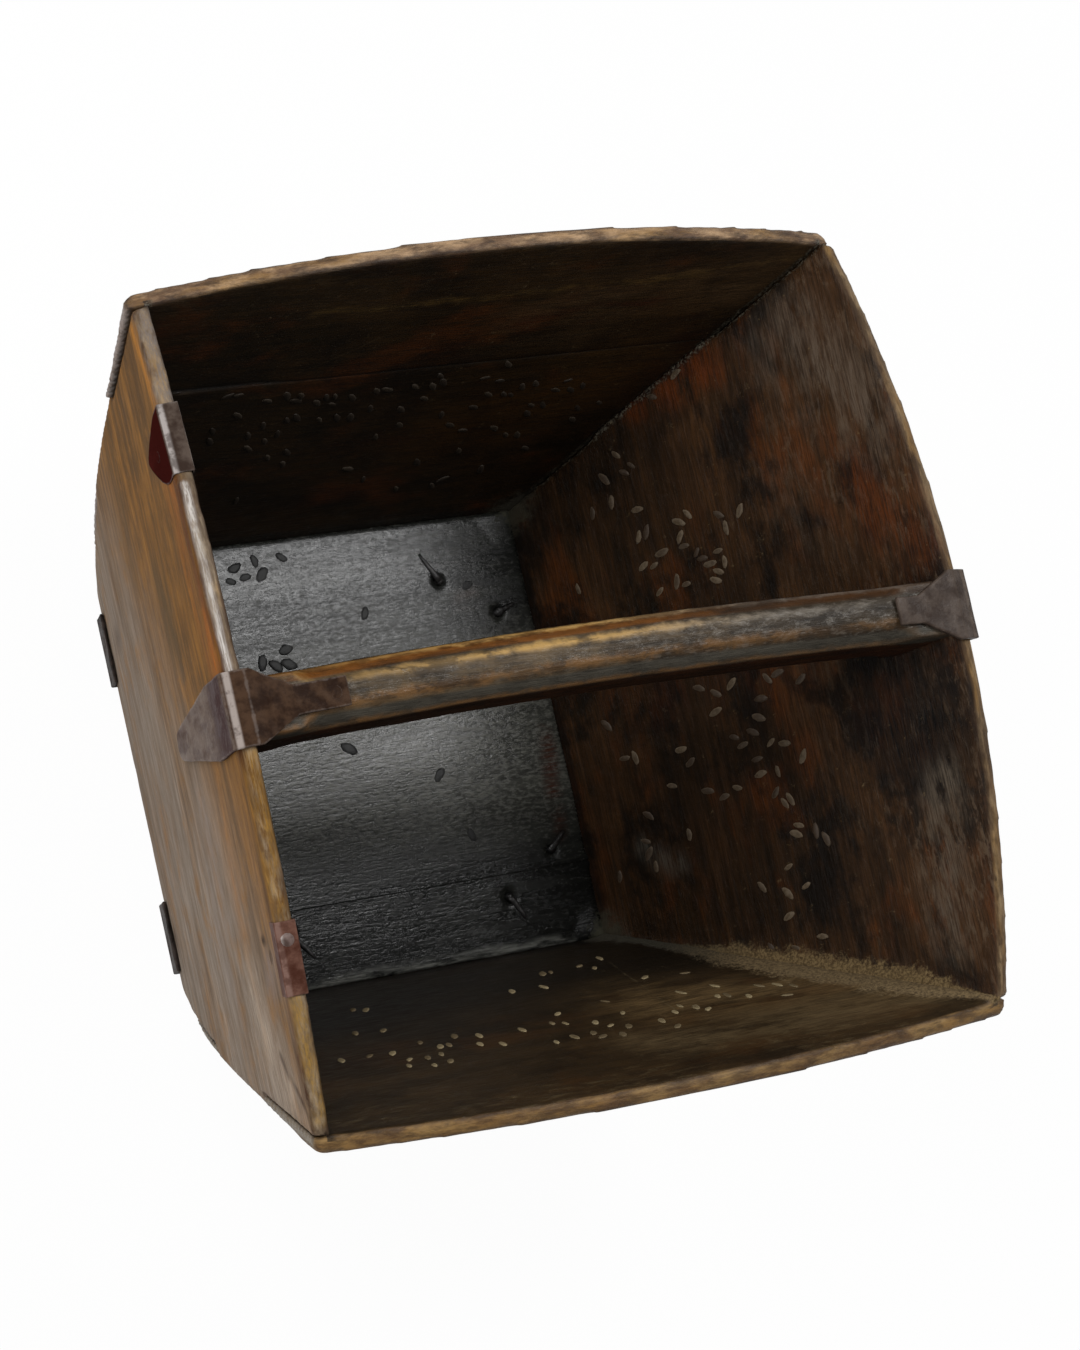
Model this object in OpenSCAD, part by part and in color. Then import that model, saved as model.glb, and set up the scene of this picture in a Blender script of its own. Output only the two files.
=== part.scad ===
// Flared square grain measure of wooden planks, with a bar handle across the mouth and iron straps.
// Millimetres. Z is up, X runs along the handle, and the base straps rest on z = 0.

/* [Box] */
// Inside length of the mouth along X, between the rim's corners
mouth_x = 314; // [260:1:380]
// Inside width of the mouth along Y, between the rim's corners
mouth_y = 307; // [260:1:370]
// Height of the inside rim corners above the lower edges of the planks
wall_rise = 176; // [150:1:220]
// Outward lean of the left and right planks, in degrees
lean_x = 21; // [12:0.5:25]
// Outward lean of the front and back planks, in degrees
lean_y = 21.5; // [12:0.5:25]
// Thickness of the planks
wall_t = 7; // [6:0.5:12]
// Rise of the left and right rims' arch above their corners, up the plank
crown_x = 22; // [8:1:36]
// Rise of the front and back rims' arch above their corners, up the plank
crown_y = 16; // [8:1:36]
// Radius of the rounded outer corners at the rim
corner_r = 5; // [3:0.5:11]
// How much larger that radius is at the planks' lower edges
corner_growth = 3; // [2:0.5:9]
// Height of the top finger of each corner joint, and of the back wall's upper board
top_finger_h = 56; // [30:1:80]
// Number of fingers below the top one in each corner joint
lower_fingers = 2; // [2:2:6]

/* [Base boards] */
// Thickness of the base boards
base_t = 17.5; // [12:0.5:24]
// Distance of the seam between the two base boards from the front plank's lower inside edge
base_seam_inset = 26; // [18:1:60]
// Gap between the base boards and the planks round them
base_fit = 0.2; // [0.1:0.05:0.5]

/* [Handle] */
// Width of the bar at its underside
handle_w = 27; // [22:0.5:34]
// Height of the bar
handle_h = 28; // [22:0.5:36]
// How far each side of the bar leans in from bottom to top
handle_draft = 2.5; // [0:0.5:4]
// Size of the chamfers on the upper arrises
top_chamfer = 6.5; // [3:0.5:7]
// Size of the chamfers on the lower arrises
bottom_chamfer = 4; // [2:0.5:6]
// Length at each end of the bar that is left square
chamfer_stop = 10; // [4:1:30]
// Radius of the sweep in which a chamfer runs out
runout_r = 24; // [10:1:40]
// Width of the tenon let into the rim
tenon_w = 14; // [8:0.5:18]
// Depth of the tenon below the rim
tenon_h = 20; // [12:0.5:26]
// Gap round the tenon in its notch
tenon_fit = 0.2; // [0.1:0.05:0.5]

/* [Handle straps] */
// Thickness of the iron
strap_t = 2; // [1.5:0.25:3]
// Width of the strap where it crosses the rim
strap_w = 28; // [20:1:40]
// Length of the outer leaf below the rim's crown
leaf_drop = 84; // [50:1:110]
// Radius of the leaf's rounded point
leaf_tip_r = 6; // [4:0.5:9]
// Width of the tab on the handle
tab_w = 11; // [8:0.5:14]
// Length of the left tab from the rim's inner edge
tab_left = 42; // [32:1:60]
// Length of the right tab from the rim's inner edge
tab_right = 30; // [28:1:60]
// Length in which the strap narrows to the tab
tab_taper = 19; // [10:1:22]

/* [Rim clips] */
// Thickness of the iron
clip_t = 1.6; // [1:0.1:2.5]
// Distance of the back clip's middle from the rim's back corner
clip_back_inset = 52; // [36:1:90]
// Distance of the front clip's middle from the rim's front corner
clip_front_inset = 64; // [36:1:90]
// Length of a clip along the rim
clip_len = 27; // [16:1:36]
// Drop of a clip's half-round leaf below the rim
clip_leaf = 33; // [24:1:44]
// Drop of a clip's short lip below the rim
clip_lip = 7; // [4:0.5:14]

/* [Base straps] */
// Thickness of the iron
base_strap_t = 3; // [2:0.25:4]
// Width of a base strap
base_strap_w = 28; // [22:1:34]
// Distance of the back strap's centre line from the back plank's lower inside edge
base_strap_back_inset = 28; // [22:1:40]
// Distance of the front strap's centre line from the front plank's lower inside edge
base_strap_front_inset = 25; // [22:1:40]
// Height of the hooked ends above the lower edges of the planks
hook_rise = 10; // [6:0.5:24]
// Gap between the hooked ends and the planks
hook_fit = 0.3; // [0.1:0.1:0.8]

/* [Nails and pins] */
// Diameter of the nail shanks
nail_d = 3; // [2:0.25:4]
// Diameter of the domed nail heads
nail_head_d = 5.5; // [4:0.25:8]
// Height of the domed nail heads
nail_head_h = 1.1; // [0.8:0.1:2.5]
// Gap round a nail's shank in its hole
nail_fit = 0.1; // [0.05:0.05:0.3]
// Distance of a leaf's upper nail below the rim's crown
leaf_nail_drop = 14; // [11:0.5:18]
// How far a leaf's upper nail goes into the handle
leaf_nail_grip = 10; // [6:0.5:12]
// Distance of a tab's nail from the tab's end
tab_nail_inset = 6; // [5:0.5:9]
// How far a tab's nail goes into the handle
tab_nail_grip = 14; // [8:0.5:20]
// Distance of a clip's leaf nail below the rim
clip_nail_drop = 17; // [12:0.5:22]
// How far the front clip's rim nail goes into the plank
clip_nail_grip = 18; // [10:0.5:30]
// Wood left in front of the points of the short nails
point_cover = 1; // [0.5:0.25:2]
// Length of the clenched point that lies on the base
clench_len = 10; // [6:0.5:14]
// Distance of the outer base nails from the planks' inner faces
nail_inset_outer = 18; // [14:1:24]
// Distance of the inner base nails from the planks' inner faces
nail_inset_inner = 43; // [36:1:54]
// Distance of the base nails from a strap's centre line
nail_stagger = 8; // [4:0.5:9]
// Diameter of the hidden wooden pins
dowel_d = 3.5; // [2.5:0.25:4]
// Length of the hidden wooden pins
dowel_len = 26; // [16:1:40]
// Distance of the outer pins in the base from the planks' inner faces
base_dowel_inset = 31; // [29:1:34]
// Distance of the outer pins in the back wall from the planks' inner faces
back_dowel_inset = 60; // [40:1:90]
// Gap round a hidden pin in its hole
dowel_fit = 0.1; // [0.05:0.05:0.3]

/* [Hidden] */
$fn = 120;
// The wide arcs of the rims need finer steps than the small rounds
arc_fn = 720;
// Size of the blocks that stand for half spaces, far outside the object
reach = 800;
// Overlap that lets two solids of one piece join
weld = 1;

wall_z = base_strap_t;
rim_z = wall_z + wall_rise;
base_top = wall_z + base_t;
top_finger_z = rim_z - top_finger_h;
lower_finger_h = (wall_rise - top_finger_h) / lower_fingers;

// Wall names for on_wall: each has its turn about Z, half mouth, lean and rim crown
right = [0, mouth_x / 2, lean_x, crown_x];
back = [90, mouth_y / 2, lean_y, crown_y];
left = [180, mouth_x / 2, lean_x, crown_x];
front = [270, mouth_y / 2, lean_y, crown_y];

// Inner edge of the left and right rims at the middle of their arch
crown_edge_x = mouth_x / 2 + crown_x * sin(lean_x);
crown_edge_z = rim_z + crown_x * cos(lean_x);
handle_top = crown_edge_z;
handle_bottom = handle_top - handle_h;

// Inside half length of the floor, at the top of the base boards
floor_x = mouth_x / 2 - (rim_z - base_top) * tan(lean_x);
// Inside half width between the planks' lower edges
foot_y = mouth_y / 2 - wall_rise * tan(lean_y);
// Inside half length of the back wall at its seam
seam_x = mouth_x / 2 - top_finger_h * tan(lean_x);

base_seam_y = base_seam_inset - foot_y;
base_strap_back_y = foot_y - base_strap_back_inset;
base_strap_front_y = base_strap_front_inset - foot_y;
clip_back_y = mouth_y / 2 - clip_back_inset;
clip_front_y = clip_front_inset - mouth_y / 2;

clench_d = nail_d * 0.8;
nail_hole_d = nail_d + 2 * nail_fit;
dowel_hole_d = dowel_d + 2 * dowel_fit;
// Head and hole of the flush nails under the base straps
flush_head_d = nail_d * 2;
flush_hole_d = flush_head_d + 2 * nail_fit;

// Nails in the outer leaf of a handle strap: distance below the crown, and length in the wood
short_nail_len = wall_t - point_cover;
leaf_nail_drops = [leaf_nail_drop, leaf_drop - 3 * leaf_tip_r];
leaf_nail_lengths = [wall_t + leaf_nail_grip, short_nail_len];
// Distance of the front clip's rim nail from the clip's middle
clip_nail_offset = clip_len / 4;

// Base nails: side along X, row (0 inner, 1 outer), side of the centre line, direction of the clenched point
back_nails = [[1, 0, 1, 120], [1, 1, -1, 20], [-1, 1, -1, 160]];
front_nails = [[1, 0, -1, -60], [-1, 0, -1, -50], [1, 1, 1, 40], [-1, 1, 1, 140]];

wood_dark = [0.23, 0.15, 0.10];
wood_mid = [0.45, 0.31, 0.18];
wood_base = [0.20, 0.20, 0.19];
wood_handle = [0.40, 0.27, 0.15];
iron_brown = [0.29, 0.24, 0.23];
iron_rust = [0.36, 0.17, 0.13];
iron_grey = [0.25, 0.25, 0.25];
pin_pale = [0.66, 0.52, 0.33];

// Radius of a rim's arch, from its half span and its rise
function arch_r(half, rise) = (half * half + rise * rise) / (2 * rise);

// Height of a rim's arch above its corners, at a distance along from the middle
function arch_at(wall, along) =
    let (r = arch_r(wall[1], wall[3])) wall[3] - r + sqrt(r * r - along * along);

// Tilt of a rim's arch at a distance along from the middle
function arch_tilt(wall, along) = -asin(along / arch_r(wall[1], wall[3]));

// Outside face of the left and right planks at a height
function outer_x(z) = mouth_x / 2 + wall_t / cos(lean_x) + (z - rim_z) * tan(lean_x);

// Point of a handle strap's side view, by its depth out of the plank's inner face and its height up the plank
function past_bend(depth, up) =
    [depth * cos(lean_x) + up * sin(lean_x), up * cos(lean_x) - depth * sin(lean_x)];

// Distance of a base nail from the middle along X
function nail_x(spot) = spot[0] * (floor_x - (spot[1] == 0 ? nail_inset_inner : nail_inset_outer));

// A plank's own frame: X along the rim, Y up the plank from the rim's corners, Z out of its inner face
module on_wall(wall) {
    rotate([0, 0, wall[0]])
        translate([wall[1], 0, rim_z])
            rotate([0, wall[2], 0])
                rotate([90, 0, 90])
                    children();
}

// Endless plank with an arched rim, from one depth to another, with its rim raised if asked
module plank(wall, from = 0, to = wall_t, raise = 0) {
    r = arch_r(wall[1], wall[3]);
    intersection() {
        translate([-reach, -reach, from])
            cube([2 * reach, 2 * reach, to - from]);
        translate([0, wall[3] - r, from - weld])
            cylinder(r = r + raise, h = to - from + 2 * weld, $fn = arc_fn);
    }
}

// Everything further out than a given depth of a plank
module beyond(wall, depth) {
    on_wall(wall)
        translate([-reach, -reach, depth])
            cube([2 * reach, 2 * reach, reach]);
}

// Level slice between two heights
module level(low, high) {
    translate([-reach, -reach, low])
        cube([2 * reach, 2 * reach, high - low]);
}

// What a rounded outer corner takes away: the corner at +X +Y, mirrored to the others by the flips
module corner_round(flip_x, flip_y) {
    tilt = atan(norm([tan(lean_x), tan(lean_y)]));
    heading = atan2(tan(lean_y), tan(lean_x));
    normal_a = atan2(-cos(lean_x) * sin(heading),
                     cos(lean_x) * cos(tilt) * cos(heading) + sin(lean_x) * sin(tilt));
    normal_b = atan2(cos(lean_y) * cos(heading),
                     cos(lean_y) * cos(tilt) * sin(heading) + sin(lean_y) * sin(tilt));
    half = (normal_b - normal_a) / 2;
    // The round is a cone that touches both planks, with its point far above the corner
    gain = corner_growth * cos(tilt) / wall_rise;
    swing = asin(gain / cos(half));
    point_up = corner_r / gain;
    cone_h = point_up + 2 * wall_rise;
    mirror([flip_x, 0, 0])
        mirror([0, flip_y, 0])
            translate([mouth_x / 2 + wall_t / cos(lean_x), mouth_y / 2 + wall_t / cos(lean_y), rim_z])
                rotate([0, tilt, heading])
                    rotate([0, 0, (normal_a + normal_b) / 2])
                        translate([0, 0, point_up])
                            difference() {
                                rotate([0, atan(tan(swing) * sin(half) * sin(half)), 0])
                                    translate([0, -reach, -cone_h])
                                        cube([reach, 2 * reach, cone_h]);
                                rotate([0, swing, 0])
                                    translate([0, 0, -cone_h])
                                        cylinder(r1 = cone_h * tan(asin(gain)), r2 = 0, h = cone_h);
                            }
}

module all_corner_rounds() {
    for (flip_x = [0, 1], flip_y = [0, 1])
        corner_round(flip_x, flip_y);
}

// Heights of the corner fingers that the left and right planks own
module side_fingers() {
    for (i = [1 : 2 : lower_fingers])
        level(wall_z + i * lower_finger_h, wall_z + (i + 1) * lower_finger_h);
}

// Heights of the corner fingers that the front and back planks own
module end_fingers() {
    for (i = [0 : 2 : lower_fingers - 1])
        level(wall_z + i * lower_finger_h, wall_z + (i + 1) * lower_finger_h);
    level(top_finger_z, top_finger_z + reach);
}

// Left or right plank, with its fingers and the notch for the handle
module side_wall(wall) {
    difference() {
        intersection() {
            on_wall(wall)
                plank(wall);
            level(wall_z, reach);
        }
        for (end = [front, back]) {
            beyond(end, wall_t);
            intersection() {
                beyond(end, 0);
                end_fingers();
            }
        }
        all_corner_rounds();
        tenon_block(tenon_fit);
    }
}

// Front or back plank, with its fingers
module end_wall(wall) {
    difference() {
        intersection() {
            on_wall(wall)
                plank(wall);
            level(wall_z, reach);
        }
        for (side = [left, right]) {
            beyond(side, wall_t);
            intersection() {
                beyond(side, 0);
                side_fingers();
            }
        }
        all_corner_rounds();
    }
}

// Bar that the handle's tenons are cut from, and with a gap the notches in the rims
module tenon_block(gap) {
    translate([-reach, -tenon_w / 2 - gap, handle_top - tenon_h - gap])
        cube([2 * reach, tenon_w + 2 * gap, tenon_h + gap + reach]);
}

// Round nail along -Z with its head's seat at z = 0
module nail(length) {
    cap_r = (nail_head_d * nail_head_d / 4 + nail_head_h * nail_head_h) / (2 * nail_head_h);
    translate([0, 0, -length])
        cylinder(d = nail_d, h = length + nail_head_h / 2);
    intersection() {
        translate([0, 0, nail_head_h - cap_r])
            sphere(r = cap_r);
        cylinder(d = nail_head_d + weld, h = nail_head_h);
    }
}

module nail_hole(length) {
    translate([0, 0, -length - nail_fit])
        cylinder(d = nail_hole_d, h = length + nail_fit + weld);
}

// Places of the nails in the outer leaf of a handle strap
module at_leaf_nail(wall, i) {
    on_wall(wall)
        translate([0, crown_x - leaf_nail_drops[i], wall_t + strap_t])
            children();
}

// Place of the nail in the tab on the handle
module at_tab_nail(side, tab) {
    translate([side * (crown_edge_x - tab + tab_nail_inset), 0, handle_top + strap_t])
        children();
}

module strap_nails(wall, side, tab) {
    for (i = [0 : len(leaf_nail_drops) - 1])
        at_leaf_nail(wall, i)
            nail(strap_t + leaf_nail_lengths[i]);
    at_tab_nail(side, tab)
        nail(strap_t + tab_nail_grip);
}

module strap_nail_holes(wall, side, tab) {
    for (i = [0 : len(leaf_nail_drops) - 1])
        at_leaf_nail(wall, i)
            nail_hole(strap_t + leaf_nail_lengths[i]);
    at_tab_nail(side, tab)
        nail_hole(strap_t + tab_nail_grip);
}

// Where a clip's rim stands: along is measured on the plank, turned with the arch
module at_clip(along) {
    on_wall(left)
        translate([along, arch_at(left, along), 0])
            rotate([0, 0, arch_tilt(left, along)])
                children();
}

// Clip folded over the rim, with its half-round leaf outside or inside
module rim_clip(along, leaf_outside) {
    leaf_from = leaf_outside ? wall_t : -clip_t - weld;
    lip_from = leaf_outside ? -clip_t - weld : wall_t;
    side_t = clip_t + weld;
    difference() {
        intersection() {
            on_wall(left)
                plank(left, -clip_t, wall_t + clip_t, clip_t);
            at_clip(along)
                union() {
                    translate([-clip_len / 2, -clip_lip, lip_from])
                        cube([clip_len, clip_lip + 2 * clip_len, side_t]);
                    translate([-clip_len / 2, -weld, -clip_t - weld])
                        cube([clip_len, 2 * clip_len, wall_t + 2 * side_t]);
                    translate([-clip_len / 2, clip_len / 2 - clip_leaf, leaf_from])
                        cube([clip_len, clip_leaf, side_t]);
                    translate([0, clip_len / 2 - clip_leaf, leaf_from])
                        cylinder(d = clip_len, h = side_t);
                }
        }
        on_wall(left)
            plank(left);
        clip_nail_holes(along, leaf_outside);
    }
}

module at_clip_leaf_nail(along, leaf_outside) {
    at_clip(along)
        translate([0, -clip_nail_drop, leaf_outside ? wall_t + clip_t : -clip_t])
            rotate([leaf_outside ? 0 : 180, 0, 0])
                children();
}

module at_clip_rim_nail(along) {
    at_clip(along)
        translate([-clip_nail_offset, clip_t, wall_t / 2])
            rotate([-90, 0, 0])
                children();
}

module clip_nail_holes(along, leaf_outside) {
    at_clip_leaf_nail(along, leaf_outside)
        nail_hole(clip_t + short_nail_len);
    if (!leaf_outside)
        at_clip_rim_nail(along)
            nail_hole(clip_t + clip_nail_grip);
}

// Strap over the rim at the handle: leaf outside, cap on the rim, tab on the handle's top
module handle_strap(wall, side, tab) {
    difference() {
        intersection() {
            at_bend(side)
                rotate([90, 0, 0])
                    linear_extrude(strap_w + 2 * weld, center = true)
                        strap_profile(tab);
            union() {
                on_wall(wall)
                    linear_extrude(wall_t + strap_t + weld)
                        leaf_outline();
                at_bend(side)
                    translate([0, 0, -weld])
                        linear_extrude(strap_t + 2 * weld)
                            tab_outline(tab);
            }
        }
        strap_nail_holes(wall, side, tab);
    }
}

// Bend of a strap: X runs outwards from the rim's inner edge at its crown, Z up from the handle's top
module at_bend(side) {
    translate([side * crown_edge_x, 0, handle_top])
        mirror([side < 0 ? 1 : 0, 0, 0])
            children();
}

// Strap from the side: the tab, the bend at the rim's inner edge, the cap over the rim and the leaf
module strap_profile(tab) {
    polygon([[-tab, 0], [-tab, strap_t], [strap_t * tan(lean_x / 2), strap_t],
             past_bend(wall_t + strap_t, strap_t), past_bend(wall_t + strap_t, -leaf_drop),
             past_bend(wall_t, -leaf_drop), past_bend(wall_t, 0), [0, 0]]);
}

// Leaf that narrows from the rim to a rounded point
module leaf_outline() {
    top = crown_x + strap_t + weld;
    tip = crown_x - leaf_drop + leaf_tip_r;
    polygon([[-strap_w / 2, top], [-strap_w / 2, crown_x - strap_w], [-leaf_tip_r, tip],
             [leaf_tip_r, tip], [strap_w / 2, crown_x - strap_w], [strap_w / 2, top]]);
    translate([0, tip])
        circle(r = leaf_tip_r);
}

// Tab that narrows inwards from the bend
module tab_outline(tab) {
    end = -tab - weld;
    polygon([[wall_t, -strap_w / 2], [-strap_t, -strap_w / 2], [-tab_taper, -tab_w / 2], [end, -tab_w / 2],
             [end, tab_w / 2], [-tab_taper, tab_w / 2], [-strap_t, strap_w / 2], [wall_t, strap_w / 2]]);
}

// Chamfer along the bar's arris, cut as a long flat with a round run-out at each end
module bar_chamfer(size, from_x) {
    half = from_x - runout_r * sin(acos(1 - size / sqrt(2) / runout_r));
    rotate([-45, 0, 0])
        translate([0, 0, -size / sqrt(2)]) {
            translate([-half, -reach, 0])
                cube([2 * half, 2 * reach, reach]);
            for (end = [-1, 1])
                translate([end * half, 0, runout_r])
                    rotate([90, 0, 0])
                        cylinder(r = runout_r, h = reach, center = true);
        }
}

// The bar between the planks, before its tenons
module handle_bar() {
    top_half = handle_w / 2 - handle_draft;
    square_end = crown_edge_x - handle_h * tan(lean_x) - chamfer_stop;
    difference() {
        rotate([90, 0, 90])
            linear_extrude(2 * reach, center = true)
                polygon([[-handle_w / 2, handle_bottom], [handle_w / 2, handle_bottom],
                         [top_half, handle_top], [-top_half, handle_top]]);
        for (flip = [0, 1])
            mirror([0, flip, 0]) {
                translate([0, top_half, handle_top])
                    bar_chamfer(top_chamfer, square_end);
                translate([0, handle_w / 2, handle_bottom])
                    mirror([0, 0, 1])
                        bar_chamfer(bottom_chamfer, square_end);
            }
        beyond(left, 0);
        beyond(right, 0);
    }
}

// Flat strap under the base with its ends hooked up the left and right planks
module base_strap(y, nails) {
    hook_z = wall_z + hook_rise;
    lift = base_strap_t / cos(lean_x);
    low = outer_x(0) + lift;
    high = outer_x(hook_z) + lift;
    inner_high = outer_x(hook_z) + hook_fit;
    inner_low = outer_x(wall_z) + hook_fit;
    difference() {
        translate([0, y, 0])
            rotate([90, 0, 0])
                linear_extrude(base_strap_w, center = true)
                    polygon([[-low, 0], [low, 0], [high, hook_z], [inner_high, hook_z], [inner_low, wall_z],
                             [-inner_low, wall_z], [-inner_high, hook_z], [-high, hook_z]]);
        base_nail_holes(y, nails);
    }
}

// Nail flush under the strap, up through the base, with its point bent over on top
module clenched_nail(heading) {
    cylinder(d1 = flush_head_d, d2 = nail_d, h = base_strap_t);
    cylinder(d = nail_d, h = base_top + clench_d / 2);
    translate([0, 0, base_top + clench_d / 2])
        sphere(d = nail_d);
    rotate([0, 0, heading])
        translate([0, 0, base_top + clench_d / 2])
            rotate([0, 90, 0])
                cylinder(d = clench_d, h = clench_len);
}

module base_nails(y, nails) {
    for (spot = nails)
        translate([nail_x(spot), y + spot[2] * nail_stagger, 0])
            clenched_nail(spot[3]);
}

module base_nail_holes(y, nails) {
    for (spot = nails)
        translate([nail_x(spot), y + spot[2] * nail_stagger, 0]) {
            translate([0, 0, -weld])
                cylinder(d = nail_hole_d, h = base_top + 2 * weld);
            cylinder(d1 = flush_hole_d, d2 = nail_hole_d, h = base_strap_t);
        }
}

// Base boards before they are parted at the seam
module base_blank() {
    difference() {
        level(wall_z, base_top);
        for (wall = [left, right, front, back])
            beyond(wall, -base_fit);
        base_nail_holes(base_strap_back_y, back_nails);
        base_nail_holes(base_strap_front_y, front_nails);
        base_pins(dowel_hole_d, dowel_len + 2 * dowel_fit);
    }
}

// Pins across the seam of the base boards
module base_pins(d, length) {
    for (i = [-1 : 1])
        translate([i * (floor_x - base_dowel_inset), base_seam_y, wall_z + base_t / 2])
            rotate([90, 0, 0])
                cylinder(d = d, h = length, center = true);
}

// Pins across the seam of the back boards, along the middle of the plank
module back_pins(d, length) {
    seam_up = (wall_t / 2 * sin(lean_y) - top_finger_h) / cos(lean_y);
    on_wall(back)
        for (i = [-1 : 1])
            translate([i * (seam_x - back_dowel_inset), seam_up, wall_t / 2])
                rotate([90, 0, 0])
                    cylinder(d = d, h = length, center = true);
}

module left_wall() {
    color(wood_mid)
        difference() {
            side_wall(left);
            strap_nail_holes(left, -1, tab_left);
            clip_nail_holes(-clip_back_y, true);
            clip_nail_holes(-clip_front_y, false);
        }
}

module right_wall() {
    color(wood_dark)
        difference() {
            side_wall(right);
            strap_nail_holes(right, 1, tab_right);
        }
}

module front_wall() {
    color(wood_mid)
        end_wall(front);
}

module back_wall_upper() {
    color(wood_mid)
        difference() {
            end_wall(back);
            level(-reach, top_finger_z);
            back_pins(dowel_hole_d, dowel_len + 2 * dowel_fit);
        }
}

module back_wall_lower() {
    color(wood_dark)
        difference() {
            end_wall(back);
            level(top_finger_z, reach);
            back_pins(dowel_hole_d, dowel_len + 2 * dowel_fit);
        }
}

module back_wall_dowels() {
    color(pin_pale)
        back_pins(dowel_d, dowel_len);
}

module base_board_back() {
    color(wood_base)
        difference() {
            base_blank();
            translate([-reach, base_seam_y - 2 * reach, -reach])
                cube(2 * reach);
        }
}

module base_board_front() {
    color(wood_base)
        difference() {
            base_blank();
            translate([-reach, base_seam_y, -reach])
                cube(2 * reach);
        }
}

module base_board_dowels() {
    color(pin_pale)
        base_pins(dowel_d, dowel_len);
}

module handle() {
    color(wood_handle)
        difference() {
            union() {
                handle_bar();
                for (wall = [left, right])
                    intersection() {
                        on_wall(wall)
                            plank(wall, -weld, wall_t);
                        tenon_block(0);
                        level(0, handle_top);
                    }
            }
            strap_nail_holes(left, -1, tab_left);
            strap_nail_holes(right, 1, tab_right);
        }
}

module handle_strap_left() {
    color(iron_brown)
        handle_strap(left, -1, tab_left);
}

module handle_strap_right() {
    color(iron_brown)
        handle_strap(right, 1, tab_right);
}

module handle_strap_left_nails() {
    color(iron_grey)
        strap_nails(left, -1, tab_left);
}

module handle_strap_right_nails() {
    color(iron_grey)
        strap_nails(right, 1, tab_right);
}

module rim_clip_back() {
    color(iron_rust)
        rim_clip(-clip_back_y, true);
}

module rim_clip_front() {
    color(iron_rust)
        rim_clip(-clip_front_y, false);
}

module rim_clip_back_nails() {
    color(iron_grey)
        at_clip_leaf_nail(-clip_back_y, true)
            nail(clip_t + short_nail_len);
}

module rim_clip_front_nails() {
    color(iron_grey) {
        at_clip_leaf_nail(-clip_front_y, false)
            nail(clip_t + short_nail_len);
        at_clip_rim_nail(-clip_front_y)
            nail(clip_t + clip_nail_grip);
    }
}

module base_strap_back() {
    color(iron_grey)
        base_strap(base_strap_back_y, back_nails);
}

module base_strap_front() {
    color(iron_grey)
        base_strap(base_strap_front_y, front_nails);
}

module base_strap_back_nails() {
    color(iron_grey)
        base_nails(base_strap_back_y, back_nails);
}

module base_strap_front_nails() {
    color(iron_grey)
        base_nails(base_strap_front_y, front_nails);
}

left_wall();
right_wall();
front_wall();
back_wall_upper();
back_wall_lower();
back_wall_dowels();
base_board_back();
base_board_front();
base_board_dowels();
handle();
handle_strap_left();
handle_strap_right();
handle_strap_left_nails();
handle_strap_right_nails();
rim_clip_back();
rim_clip_front();
rim_clip_back_nails();
rim_clip_front_nails();
base_strap_back();
base_strap_front();
base_strap_back_nails();
base_strap_front_nails();
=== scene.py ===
import math
import random
import bmesh
import bpy
import numpy as np
from mathutils import Matrix, Vector
from mathutils.kdtree import KDTree


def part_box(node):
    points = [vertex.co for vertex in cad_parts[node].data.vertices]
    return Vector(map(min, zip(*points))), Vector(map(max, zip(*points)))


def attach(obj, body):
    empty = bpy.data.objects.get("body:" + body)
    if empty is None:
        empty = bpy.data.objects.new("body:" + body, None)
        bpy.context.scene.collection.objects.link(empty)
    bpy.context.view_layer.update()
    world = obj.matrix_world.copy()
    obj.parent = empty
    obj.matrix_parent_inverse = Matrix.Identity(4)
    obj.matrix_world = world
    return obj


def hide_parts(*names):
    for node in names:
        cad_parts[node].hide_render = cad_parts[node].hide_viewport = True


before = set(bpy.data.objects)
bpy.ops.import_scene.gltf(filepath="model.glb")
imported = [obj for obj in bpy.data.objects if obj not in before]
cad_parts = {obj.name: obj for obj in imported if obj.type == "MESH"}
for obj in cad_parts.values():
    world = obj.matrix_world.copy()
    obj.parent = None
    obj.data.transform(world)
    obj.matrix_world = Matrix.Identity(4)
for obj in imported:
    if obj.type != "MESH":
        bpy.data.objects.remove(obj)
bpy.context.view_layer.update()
scene = bpy.context.scene
print("frame loaded:", len(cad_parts), "nodes")

# the box, in millimetres, as packed
boxShape = {
    "half": {"x": 157.0, "y": 153.5},
    "lean": {"x": 21.0, "y": 21.5},
    "crown": {"x": 22.0, "y": 16.0},
    "rimZ": 179.0,
    "footZ": 3.0,
    "thick": 7.0,
    "baseTop": 20.5,
}
wallSide = {"right": ("x", 1), "left": ("x", -1), "back": ("y", 1), "front": ("y", -1)}


def wallAxes(side):
    axis, sign = wallSide[side]
    lean = math.radians(boxShape["lean"][axis])
    flat = np.array([sign, 0, 0] if axis == "x" else [0, sign, 0], float)
    out = flat * math.cos(lean) - np.array([0, 0, math.sin(lean)])
    up = flat * math.sin(lean) + np.array([0, 0, math.cos(lean)])
    along = np.array([-flat[1], flat[0], 0])
    corner = flat * boxShape["half"][axis] + np.array([0, 0, boxShape["rimZ"]])
    return along, up, out, corner


def wallPlace(points, side):  # along the rim, up the plank, out of its inner face
    along, up, out, corner = wallAxes(side)
    rel = points - corner
    return rel @ along, rel @ up, rel @ out


def onWall(side, along, up, depth=0.0):
    a, u, o, corner = wallAxes(side)
    return corner + a * along + u * up + o * depth


def rimArch(side, along):
    axis = wallSide[side][0]
    half, crown = boxShape["half"][axis], boxShape["crown"][axis]
    radius = (half * half + crown * crown) / (2 * crown)
    return crown - radius + np.sqrt(radius * radius - along * along)


farGap = 60.0  # millimetres: a distance beyond this no longer matters


def ease(low, high, value):
    t = np.clip((value - low) / (high - low), 0, 1)
    return t * t * (3 - 2 * t)


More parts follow.
